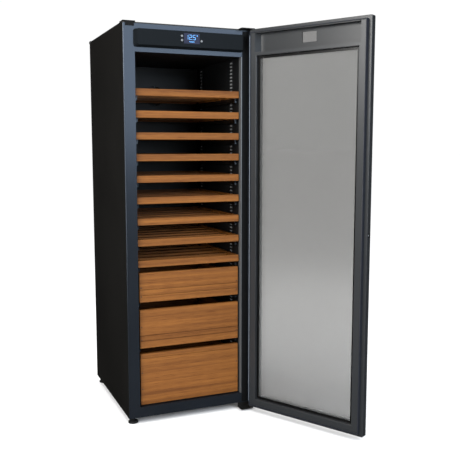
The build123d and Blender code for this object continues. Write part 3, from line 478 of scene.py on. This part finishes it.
# Display: a clear acrylic window over a liquid crystal cell. The cell is dark blue and glows
# faintly and a little unevenly.
glow_patch = 0.04
cell, tree, shader = start_material("acrylic_window_over_lcd", Roughness=0.4)
shader.inputs["Specular IOR Level"].default_value = 0.05
where = node(tree, "ShaderNodeTexCoord")
display_low, display_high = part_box("display_window")
glow = node(
    tree,
    "ShaderNodeTexNoise",
    {"Vector": where.outputs["Object"], "Scale": 1 / glow_patch},
)
tint = node(tree, "ShaderNodeValToRGB", {"Fac": glow.outputs["Fac"]})
tint.color_ramp.elements[0].color = linear("#20232F")
tint.color_ramp.elements[1].color = linear("#2D3145")
tree.links.new(tint.outputs["Color"], shader.inputs["Base Color"])
tree.links.new(tint.outputs["Color"], shader.inputs["Emission Color"])
shader.inputs["Emission Strength"].default_value = 0.1
finish_nodes(cell, "display_window")

# Lit digits of the temperature reading and the status bar under them: thin bevelled
# segments on the front of the display.
lit_spots_per_mm = 0.3
lit, tree, shader = start_material("lcd_segment_lit_blue", Roughness=0.5)
shader.inputs["Specular IOR Level"].default_value = 0.05
where = node(tree, "ShaderNodeTexCoord")
flicker = node(
    tree,
    "ShaderNodeTexNoise",
    {"Vector": where.outputs["Object"], "Scale": mm_per_metre * lit_spots_per_mm},
)
tint = node(tree, "ShaderNodeValToRGB", {"Fac": flicker.outputs["Fac"]})
tint.color_ramp.elements[0].color = linear("#4E98E4")
tint.color_ramp.elements[1].color = linear("#7DBBF2")
tree.links.new(tint.outputs["Color"], shader.inputs["Base Color"])
tree.links.new(tint.outputs["Color"], shader.inputs["Emission Color"])
shader.inputs["Emission Strength"].default_value = 0.4


def bevelled_bar(centre, size, bevel):
    """A box with every edge bevelled, at its size and place."""
    bpy.ops.object.select_all(action="DESELECT")
    bpy.ops.mesh.primitive_cube_add(size=1, location=centre, scale=size)
    bar = bpy.context.active_object
    bpy.ops.object.transform_apply(location=True, rotation=True, scale=True)
    bpy.ops.object.mode_set(mode="EDIT")
    bpy.ops.mesh.select_all(action="SELECT")
    bpy.ops.mesh.bevel(offset=bevel, segments=2, affect="EDGES")
    bpy.ops.object.mode_set(mode="OBJECT")
    return bar


def join_as(name, parts):
    """Joins finished parts into one piece."""
    bpy.ops.object.select_all(action="DESELECT")
    for part in parts:
        part.select_set(True)
    bpy.context.view_layer.objects.active = parts[0]
    if len(parts) > 1:
        bpy.ops.object.join()
    parts[0].name = name
    return parts[0]


segment_width = 0.0016
segment_depth = 0.0004
segment_bevel = 0.00012
segment_trim = 0.6
digit_height = 0.019
digit_width = 0.0110
digit_gap = 0.0060
digits_rise = 0.005
first_digit = -1.35
point_shift = 0.15
ring_shift = 1.45
ring_radius = 0.002
ring_side = 0.005
ring_line = 0.001
ring_bevel = 0.0001
status_bars = 4
status_start = -0.009
status_pitch = 0.006
status_width = 0.0045
status_height = 0.0028
status_rise = 0.008
segments_of = {"1": "bc", "2": "abged", "5": "afgcd"}
half_w = digit_width / 2
half_h = digit_height / 2
segment_places = {
    "a": (0, half_h, False),
    "g": (0, 0, False),
    "d": (0, -half_h, False),
    "f": (-half_w, half_h / 2, True),
    "b": (half_w, half_h / 2, True),
    "e": (-half_w, -half_h / 2, True),
    "c": (half_w, -half_h / 2, True),
}
display_y = display_low.y - segment_depth / 2
display_x = (display_low.x + display_high.x) / 2
display_z = (display_low.z + display_high.z) / 2 + digits_rise
bars = []
pitch = digit_width + digit_gap
for index, digit in enumerate("125"):
    digit_x = display_x + (index + first_digit) * pitch
    for letter in segments_of[digit]:
        dx, dz, upright = segment_places[letter]
        long_side = (half_h if upright else digit_width) - segment_width * segment_trim
        size = (long_side, segment_depth, segment_width)
        if upright:
            size = (segment_width, segment_depth, long_side)
        place = (digit_x + dx, display_y, display_z + dz)
        bars.append(bevelled_bar(place, size, segment_bevel))
point_place = (display_x + point_shift * pitch, display_y, display_z - half_h)
point_size = (segment_width, segment_depth, segment_width)
bars.append(bevelled_bar(point_place, point_size, segment_bevel))
ring_x = display_x + ring_shift * pitch
ring_z = display_z + half_h - ring_radius
for side in (-1, 1):
    upright_place = (ring_x + side * ring_radius, display_y, ring_z)
    bars.append(bevelled_bar(upright_place, (ring_line, segment_depth, ring_side), ring_bevel))
    level_place = (ring_x, display_y, ring_z + side * ring_radius)
    bars.append(bevelled_bar(level_place, (ring_side, segment_depth, ring_line), ring_bevel))
for index in range(status_bars):
    bar_x = display_x + status_start + index * status_pitch
    bar_place = (bar_x, display_y, display_low.z + status_rise)
    bars.append(bevelled_bar(bar_place, (status_width, segment_depth, status_height), segment_bevel))
digits = join_as("display_digits", bars)
digits.data.materials.append(lit)
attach(digits, "cabinet")

# Hinge-side trim: taken to be a rolled aluminium angle over the right edge of the opening,
# where the face turns in. It is satin anodised, and shows as one light line beside the liner.
drawn_lines_per_mm = 1.2
drawn_lines_along = 0.006
drawn_across = mm_per_metre * drawn_lines_per_mm
drawn_along = mm_per_metre * drawn_lines_along
trim_metal, tree, shader = start_material("aluminium_rolled_anodised", Metallic=0.6, Roughness=0.45)
where = node(tree, "ShaderNodeTexCoord")
drawn = node(
    tree,
    "ShaderNodeMapping",
    {"Vector": where.outputs["Object"], "Scale": (drawn_across, drawn_across, drawn_along)},
)
lines = node(
    tree,
    "ShaderNodeTexNoise",
    {"Vector": drawn.outputs["Vector"], "Scale": 1.0, "Detail": 2.0},
)
tint = node(tree, "ShaderNodeValToRGB", {"Fac": lines.outputs["Fac"]})
tint.color_ramp.elements[0].color = linear("#5F6162")
tint.color_ramp.elements[1].color = linear("#7F8182")
tree.links.new(tint.outputs["Color"], shader.inputs["Base Color"])
liner_low, liner_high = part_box("inner_liner")
face_low, face_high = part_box("front_frame")
liner_wall = 0.002
open_x = liner_high.x - liner_wall
open_low = liner_low.z + liner_wall
open_high = liner_high.z - liner_wall
trim_sheet = 0.0004
trim_reach = 0.0035
trim_depth = liner_low.y - face_low.y
bpy.ops.object.select_all(action="DESELECT")
place = (open_x - trim_sheet, face_low.y + trim_depth / 2, (open_low + open_high) / 2)
bpy.ops.mesh.primitive_plane_add(size=1, location=place, rotation=(0, math.radians(90), 0))
trim = bpy.context.active_object
trim.name = "hinge_side_trim"
trim.scale = (open_high - open_low, trim_depth + 2 * trim_sheet, 1)
bpy.ops.object.transform_apply(location=True, rotation=True, scale=True)
for face in trim.data.polygons:
    face.select = False
for rim in trim.data.edges:
    rim.select = all(trim.data.vertices[i].co.y < face_low.y for i in rim.vertices)
for point in trim.data.vertices:
    point.select = point.co.y < face_low.y
bpy.ops.object.mode_set(mode="EDIT")
bpy.ops.mesh.select_mode(type="EDGE")
bpy.ops.mesh.extrude_region_move(TRANSFORM_OT_translate={"value": (trim_reach, 0, 0)})
bpy.ops.mesh.select_all(action="SELECT")
bpy.ops.mesh.normals_make_consistent(inside=False)
bpy.ops.object.mode_set(mode="OBJECT")
skin = trim.modifiers.new("sheet", "SOLIDIFY")
skin.thickness = trim_sheet
skin.offset = 0
bpy.ops.object.modifier_apply(modifier="sheet")
trim.data.materials.append(trim_metal)
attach(trim, "cabinet")

# Hinge-side strip: a thin matt black sheet down the right of the face, which draws the dark band
# that shows there; it is taken to be a flat black PVC extrusion glued on, and what that band is on
# the real cooler is not known. It is thinner than the gap that the shut door's seal leaves. The
# hinge hole cap is moulded in the same PVC.
mottle_per_mm = 0.09
strip_clear = 0.0015
strip_pvc, tree, shader = start_material("pvc_extruded_flat_black", Roughness=0.7)
shader.inputs["Specular IOR Level"].default_value = 0.2
where = node(tree, "ShaderNodeTexCoord")
mottle = node(
    tree,
    "ShaderNodeTexNoise",
    {"Vector": where.outputs["Object"], "Scale": mm_per_metre * mottle_per_mm},
)
tint = node(tree, "ShaderNodeValToRGB", {"Fac": mottle.outputs["Fac"]})
tint.color_ramp.elements[0].color = linear("#090A0B")
tint.color_ramp.elements[1].color = linear("#111214")
tree.links.new(tint.outputs["Color"], shader.inputs["Base Color"])
strip_left = open_x + trim_reach + strip_clear
strip_width = 0.0275
strip_depth = 0.0004
strip_end = 0.004
strip_bevel = 0.0003
strip = bevelled_bar(
    (strip_left + strip_width / 2, face_low.y - strip_depth / 2, (face_low.z + face_high.z) / 2),
    (strip_width, strip_depth, face_high.z - face_low.z - 2 * strip_end),
    strip_bevel,
)
strip.name = "hinge_side_strip"
strip.data.materials.append(strip_pvc)
finish_nodes(strip_pvc, "hinge_hole_cover")
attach(strip, "cabinet")

# Edge bead: the painted steel of the face is taken to be rolled over at its left edge, where
# it meets the side. It leans outwards, so it draws a thin light line from top to bottom.
bead_width = 0.0028
bead_rise = 0.0018
bead_back = 0.0004
edge_bead = bevelled_bar(
    (face_low.x + bead_width / 2, face_low.y + bead_back / 2, (face_low.z + face_high.z) / 2),
    (bead_width, bead_back, face_high.z - face_low.z - 2 * strip_end),
    bead_back / 4,
)
for point in edge_bead.data.vertices:
    if point.co.y < face_low.y + bead_back / 2:
        point.co.y -= bead_rise * (point.co.x - face_low.x) / bead_width
edge_bead.name = "face_edge_bead"
edge_bead.data.materials.append(face_paint)
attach(edge_bead, "cabinet")

# Rear corner caps of the lid: small moulded ABS blocks that clip over its rear corners and
# stand a little proud of the sides and the back.
cover_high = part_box("top_cover")[1]
cap_size = 0.026
cap_height = 0.014
cap_proud = 0.0025
cap_bevel = 0.003
caps = []
for side in (-1, 1):
    x = side * (cover_high.x + cap_proud - cap_size / 2)
    y = cover_high.y + cap_proud - cap_size / 2
    z = cover_high.z + cap_proud - cap_height / 2
    caps.append(bevelled_bar((x, y, z), (cap_size, cap_size, cap_height), cap_bevel))
rear_caps = join_as("rear_corner_caps", caps)
rear_caps.data.materials.append(moulded)
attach(rear_caps, "cabinet")

# Back panel screws: the heads of zinc-plated pan-head screws with a round socket, seven down
# each side of the back panel. Only the heads are modelled.
back_low, back_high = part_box("back_panel")
screw_radius = 0.0042
screw_height = 0.0018
socket_rim = 0.0020
socket_depth = 0.0010
screw_edge = 0.011
screw_rows = 7
screw_end = 0.03
first_z = back_low.z + screw_end
row_pitch = (back_high.z - screw_end - first_z) / (screw_rows - 1)
bpy.ops.object.select_all(action="DESELECT")
bpy.ops.mesh.primitive_cylinder_add(
    vertices=24,
    radius=screw_radius,
    depth=screw_height,
    location=(0, back_high.y + screw_height / 2, 0),
    rotation=(math.radians(90), 0, 0),
)
screw = bpy.context.active_object
bpy.ops.object.transform_apply(location=True, rotation=True, scale=True)
for face in screw.data.polygons:
    face.select = face.normal.y > 0.9
bpy.ops.object.mode_set(mode="EDIT")
bpy.ops.mesh.select_mode(type="FACE")
bpy.ops.mesh.inset(thickness=socket_rim)
bpy.ops.mesh.extrude_region_move(TRANSFORM_OT_translate={"value": (0, -socket_depth, 0)})
bpy.ops.object.mode_set(mode="OBJECT")
screws = []
for side in (-1, 1):
    for row in range(screw_rows):
        copy = screw.copy()
        copy.data = screw.data.copy()
        place = (side * (back_high.x - screw_edge), 0, first_z + row * row_pitch)
        copy.data.transform(Matrix.Translation(place))
        scene.collection.objects.link(copy)
        screws.append(copy)
bpy.data.objects.remove(screw)
back_screws = join_as("back_panel_screws", screws)
back_screws.data.materials.append(plated)
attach(back_screws, "cabinet")

# Fan guard: four rings of steel wire on a cross of square wires, over the round outlet of the
# air duct. It is enamelled black like the motor.
duct_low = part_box("air_duct")[0]
fan_low, fan_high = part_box("fan_impeller")
fan_z = (fan_low.z + fan_high.z) / 2
fan_radius = (fan_high.z - fan_low.z) / 2
wire = 0.0011
ring_shares = (0.3, 0.55, 0.8, 1.05)
cross_span = 2.28
cross_offset = 0.6
cross_bevel = 0.4
guard_y = duct_low.y - wire
wires = []
for share in ring_shares:
    bpy.ops.object.select_all(action="DESELECT")
    bpy.ops.mesh.primitive_torus_add(
        location=(0, guard_y, fan_z),
        rotation=(math.radians(90), 0, 0),
        major_radius=fan_radius * share,
        minor_radius=wire,
        major_segments=64,
        minor_segments=10,
    )
    ring = bpy.context.active_object
    bpy.ops.object.transform_apply(location=True, rotation=True, scale=True)
    bpy.ops.object.shade_smooth()
    wires.append(ring)
reach = fan_radius * cross_span
for size in ((reach, 2 * wire, 2 * wire), (2 * wire, 2 * wire, reach)):
    wires.append(bevelled_bar((0, guard_y - wire * cross_offset, fan_z), size, wire * cross_bevel))
guard = join_as("fan_guard", wires)
guard.data.materials.append(enamel)
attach(guard, "cabinet")

# Screw plugs: turned beech buttons in each drawer front, two at each end, in line with the
# drawer's sides. They are end grain, so they look darker than the board.
pores_per_mm = 1.4
plug_inset = 0.0075
plug_heights = (0.3, 0.75)
plug_wood, tree, shader = start_material("beech_end_grain_plug", Roughness=0.6)
where = node(tree, "ShaderNodeTexCoord")
pores = node(
    tree,
    "ShaderNodeTexVoronoi",
    {"Vector": where.outputs["Object"], "Scale": mm_per_metre * pores_per_mm},
)
tint = node(tree, "ShaderNodeValToRGB", {"Fac": pores.outputs["Distance"]})
tint.color_ramp.elements[0].color = linear("#2A170B")
tint.color_ramp.elements[1].color = linear("#5A351B")
tree.links.new(tint.outputs["Color"], shader.inputs["Base Color"])
plug_radius = 0.0032
plug_proud = 0.0004
for number in (1, 2, 3):
    front_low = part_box(f"drawer_{number}_front")[0]
    box_low, box_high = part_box(f"drawer_{number}_box")
    plug_x = box_high.x - plug_inset
    plugs = []
    for side in (-1, 1):
        for share in plug_heights:
            z = box_low.z + (box_high.z - box_low.z) * share
            bpy.ops.object.select_all(action="DESELECT")
            bpy.ops.mesh.primitive_cylinder_add(
                vertices=24,
                radius=plug_radius,
                depth=2 * plug_proud,
                location=(side * plug_x, front_low.y, z),
                rotation=(math.radians(90), 0, 0),
            )
            plug = bpy.context.active_object
            bpy.ops.object.transform_apply(location=True, rotation=True, scale=True)
            bpy.ops.object.mode_set(mode="EDIT")
            bpy.ops.mesh.select_all(action="SELECT")
            bpy.ops.mesh.bevel(offset=plug_proud / 3, segments=1, affect="EDGES")
            bpy.ops.object.mode_set(mode="OBJECT")
            plugs.append(plug)
    plug_set = join_as(f"drawer_{number}_screw_plugs", plugs)
    plug_set.data.materials.append(plug_wood)
    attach(plug_set, f"drawer_{number}")

# Push buttons: turned aluminium caps, satin anodised. The anodising scatters the light, so
# they look a soft mid grey.
cap_specks_per_mm = 1.5
turned_cap, tree, shader = start_material("aluminium_turned_anodised", Metallic=0.6, Roughness=0.5)
where = node(tree, "ShaderNodeTexCoord")
rings = node(
    tree,
    "ShaderNodeTexNoise",
    {"Vector": where.outputs["Object"], "Scale": mm_per_metre * cap_specks_per_mm},
)
tint = node(tree, "ShaderNodeValToRGB", {"Fac": rings.outputs["Fac"]})
tint.color_ramp.elements[0].color = linear("#6F7173")
tint.color_ramp.elements[1].color = linear("#8C8E90")
tree.links.new(tint.outputs["Color"], shader.inputs["Base Color"])
finish_nodes(turned_cap, "button_power", "button_down", "button_up")

# Door frame and raised inner frame: aluminium section and moulding in one satin graphite
# paint, which catches the light along its rounded edges.
door_cloud = 0.5
door_peel = 0.003
door_paint, tree, shader = start_material("satin_painted_graphite", Roughness=0.34)
shader.inputs["Coat Weight"].default_value = 0.4
shader.inputs["Coat Roughness"].default_value = 0.3
where = node(tree, "ShaderNodeTexCoord")
patches = node(
    tree,
    "ShaderNodeTexNoise",
    {"Vector": where.outputs["Object"], "Scale": 1 / door_cloud},
)
tint = node(tree, "ShaderNodeValToRGB", {"Fac": patches.outputs["Fac"]})
tint.color_ramp.elements[0].color = linear("#242628")
tint.color_ramp.elements[1].color = linear("#2B2D2F")
tree.links.new(tint.outputs["Color"], shader.inputs["Base Color"])
peel = node(tree, "ShaderNodeTexNoise", {"Vector": where.outputs["Object"], "Scale": 1 / door_peel})
bump = node(
    tree,
    "ShaderNodeBump",
    {"Height": peel.outputs["Fac"], "Strength": 0.06, "Distance": 0.0003},
)
tree.links.new(bump.outputs["Normal"], shader.inputs["Normal"])
finish_nodes(door_paint, "door_frame", "door_liner")

# Door seal: soft PVC, extruded and pressed into the door round its raised frame. It is matt
# and nearly black, with a bluish cast.
seal_dust_per_mm = 0.06
seal, tree, shader = start_material("pvc_extruded_matt_black", Roughness=0.65)
where = node(tree, "ShaderNodeTexCoord")
dust = node(
    tree,
    "ShaderNodeTexNoise",
    {"Vector": where.outputs["Object"], "Scale": mm_per_metre * seal_dust_per_mm},
)
tint = node(tree, "ShaderNodeValToRGB", {"Fac": dust.outputs["Fac"]})
tint.color_ramp.elements[0].color = linear("#171A20")
tint.color_ramp.elements[1].color = linear("#222733")
tree.links.new(tint.outputs["Color"], shader.inputs["Base Color"])
finish_nodes(seal, "door_gasket")

# Hinge bushes: black nylon, turned and pressed into the door at top and bottom. It has a
# faint satin sheen.
turning_per_mm = 0.9
nylon, tree, shader = start_material("nylon_turned_black", Roughness=0.45)
where = node(tree, "ShaderNodeTexCoord")
turning = node(
    tree,
    "ShaderNodeTexNoise",
    {"Vector": where.outputs["Object"], "Scale": mm_per_metre * turning_per_mm},
)
tint = node(tree, "ShaderNodeValToRGB", {"Fac": turning.outputs["Fac"]})
tint.color_ramp.elements[0].color = linear("#141414")
tint.color_ramp.elements[1].color = linear("#222222")
tree.links.new(tint.outputs["Color"], shader.inputs["Base Color"])
finish_nodes(nylon, "hinge_bushes")

# Lock barrel: brass, chrome plated and buffed. It is bright, with fine scuffs that dull it in
# places.
scuff_size = 0.0025
chrome, tree, shader = start_material("brass_chrome_plated", Metallic=1.0, Roughness=0.12)
where = node(tree, "ShaderNodeTexCoord")
scuffs = node(
    tree,
    "ShaderNodeTexNoise",
    {"Vector": where.outputs["Object"], "Scale": 1 / scuff_size},
)
rough = node(
    tree,
    "ShaderNodeMapRange",
    {"Value": scuffs.outputs["Fac"], "To Min": 0.08, "To Max": 0.2},
)
tree.links.new(rough.outputs["Result"], shader.inputs["Roughness"])
shader.inputs["Base Color"].default_value = linear("#D9DADB")
finish_nodes(chrome, "lock_barrel")

# Door glass: the outer pane is float glass body-tinted deep grey against sunlight, the inner
# one is nearly clear. Both are held by the frame, and the light comes through as a mid grey.
tint_patches_per_mm = 0.0012
panes = {
    "outer_glass": ("float_glass_grey_tinted", "#8E8D8C", "#929190"),
    "inner_glass": ("float_glass_clear", "#F4F5F4", "#F8F8F7"),
}
for pane, (name, darker, lighter) in panes.items():
    glass, tree, shader = start_material(name, Roughness=0.06, IOR=1.5)
    shader.inputs["Transmission Weight"].default_value = 1.0
    where = node(tree, "ShaderNodeTexCoord")
    waviness = node(
        tree,
        "ShaderNodeTexNoise",
        {"Vector": where.outputs["Object"], "Scale": mm_per_metre * tint_patches_per_mm},
    )
    tint = node(tree, "ShaderNodeValToRGB", {"Fac": waviness.outputs["Fac"]})
    tint.color_ramp.elements[0].color = linear(darker)
    tint.color_ramp.elements[1].color = linear(lighter)
    tree.links.new(tint.outputs["Color"], shader.inputs["Base Color"])
    finish_nodes(glass, pane)

# Printed borders of the panes: black ceramic frit fired onto the glass, which hides the
# spacer bars and the frame behind the outer pane.
hinge = next(j for j in frame["joints"] if j["name"] == "door_hinge")
pin = Vector(hinge["pos_m"])
swing = Matrix.Rotation(-math.radians(hinge["range_deg"][0]), 4, "Z")
open_turn = Matrix.Translation(pin) @ swing @ Matrix.Translation(-pin)
close_turn = open_turn.inverted()


def shut_box(name):
    """Lowest and highest corners of a door node when the door is shut."""
    places = [close_turn @ v.co for v in frame["nodes"][name].data.vertices]
    low = Vector([min(p[i] for p in places) for i in range(3)])
    high = Vector([max(p[i] for p in places) for i in range(3)])
    return low, high


def printed_sheet(name, low, high, holes, front, depth):
    """A thin layer on the shut door with rectangular holes, turned open with the door."""
    bpy.ops.object.select_all(action="DESELECT")
    middle = ((low.x + high.x) / 2, front, (low.z + high.z) / 2)
    bpy.ops.mesh.primitive_plane_add(size=1, location=middle, rotation=(math.radians(90), 0, 0))
    sheet = bpy.context.active_object
    sheet.name = name
    sheet.scale = (high.x - low.x, high.z - low.z, 1)
    bpy.ops.object.transform_apply(location=True, rotation=True, scale=True)
    cuts = [((x, front, 0), (1, 0, 0)) for hole in holes for x in hole[:2]]
    cuts += [((0, front, z), (0, 0, 1)) for hole in holes for z in hole[2:]]
    for place, across in cuts:
        bpy.ops.object.mode_set(mode="EDIT")
        bpy.ops.mesh.select_all(action="SELECT")
        bpy.ops.mesh.bisect(plane_co=place, plane_no=across)
        bpy.ops.object.mode_set(mode="OBJECT")
    for face in sheet.data.polygons:
        x, y, z = face.center
        face.select = any(x0 < x < x1 and z0 < z < z1 for x0, x1, z0, z1 in holes)
    bpy.ops.object.mode_set(mode="EDIT")
    bpy.ops.mesh.select_mode(type="FACE")
    bpy.ops.mesh.delete(type="FACE")
    bpy.ops.mesh.select_all(action="SELECT")
    bpy.ops.mesh.extrude_region_move(TRANSFORM_OT_translate={"value": (0, depth, 0)})
    bpy.ops.mesh.select_all(action="SELECT")
    bpy.ops.mesh.normals_make_consistent(inside=False)
    bpy.ops.object.mode_set(mode="OBJECT")
    sheet.data.transform(open_turn)
    return sheet


frit_specks_per_mm = 0.9
frit, tree, shader = start_material("ceramic_frit_fired_black", Roughness=0.25)
where = node(tree, "ShaderNodeTexCoord")
specks = node(
    tree,
    "ShaderNodeTexNoise",
    {"Vector": where.outputs["Object"], "Scale": mm_per_metre * frit_specks_per_mm},
)
tint = node(tree, "ShaderNodeValToRGB", {"Fac": specks.outputs["Fac"]})
tint.color_ramp.elements[0].color = linear("#060606")
tint.color_ramp.elements[1].color = linear("#0E0E0E")
tree.links.new(tint.outputs["Color"], shader.inputs["Base Color"])
frit_depth = 0.0003
pane_low, pane_high = shut_box("inner_glass")
inner_print = 0.020
clear = (
    pane_low.x + inner_print,
    pane_high.x - inner_print,
    pane_low.z + inner_print,
    pane_high.z - inner_print,
)
inner_border = printed_sheet("inner_glass_border", pane_low, pane_high, [clear], pane_high.y, frit_depth)
inner_border.data.materials.append(frit)
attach(inner_border, "door")
outer_low, outer_high = shut_box("outer_glass")
edge_clear = 0.0005
edge = Vector((edge_clear, 0, edge_clear))
view_past = 0.003
outer_clear = (clear[0] - view_past, clear[1] + view_past, clear[2] - view_past, clear[3] + view_past)
panel_view = (display_low.x, display_high.x, display_low.z, display_high.z)
outer_border = printed_sheet(
    "outer_glass_border",
    outer_low + edge,
    outer_high - edge,
    [outer_clear, panel_view],
    outer_high.y - 2 * frit_depth,
    frit_depth,
)
outer_border.data.materials.append(frit)
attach(outer_border, "door")

# Door edge strip: taken to be a flat aluminium extrusion on the back of the door frame beside the
# hinge-side seal. Its pale blue-grey is a painted reflection, standing in for the blue light that
# this margin mirrors.
edge_reflection_paint, tree, shader = start_material("aluminium_strip_painted_blue_reflection", Metallic=0.2, Roughness=0.4)
where = node(tree, "ShaderNodeTexCoord")
drawn = node(
    tree,
    "ShaderNodeMapping",
    {"Vector": where.outputs["Object"], "Scale": (drawn_across, drawn_across, drawn_along)},
)
lines = node(
    tree,
    "ShaderNodeTexNoise",
    {"Vector": drawn.outputs["Vector"], "Scale": 1.0, "Detail": 2.0},
)
tint = node(tree, "ShaderNodeValToRGB", {"Fac": lines.outputs["Fac"]})
# Pale blue-grey painted reflection of the blue light, not the metal's own colour.
tint.color_ramp.elements[0].color = linear("#A5B1C0")
tint.color_ramp.elements[1].color = linear("#B5C1D0")
tree.links.new(tint.outputs["Color"], shader.inputs["Base Color"])
frame_high = shut_box("door_frame")[1]
seal_low, seal_high = shut_box("door_gasket")
edge_gap = 0.0004
edge_depth = 0.0008
edge_end = 0.012
edge_strip = bevelled_bar(
    (
        (seal_high.x + frame_high.x) / 2,
        frame_high.y + edge_depth / 2,
        (seal_low.z + seal_high.z) / 2,
    ),
    (
        frame_high.x - seal_high.x - 2 * edge_gap,
        edge_depth,
        seal_high.z - seal_low.z - 2 * edge_end,
    ),
    edge_depth / 4,
)
edge_strip.name = "door_edge_strip"
edge_strip.data.transform(open_turn)
edge_strip.data.materials.append(edge_reflection_paint)
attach(edge_strip, "door")
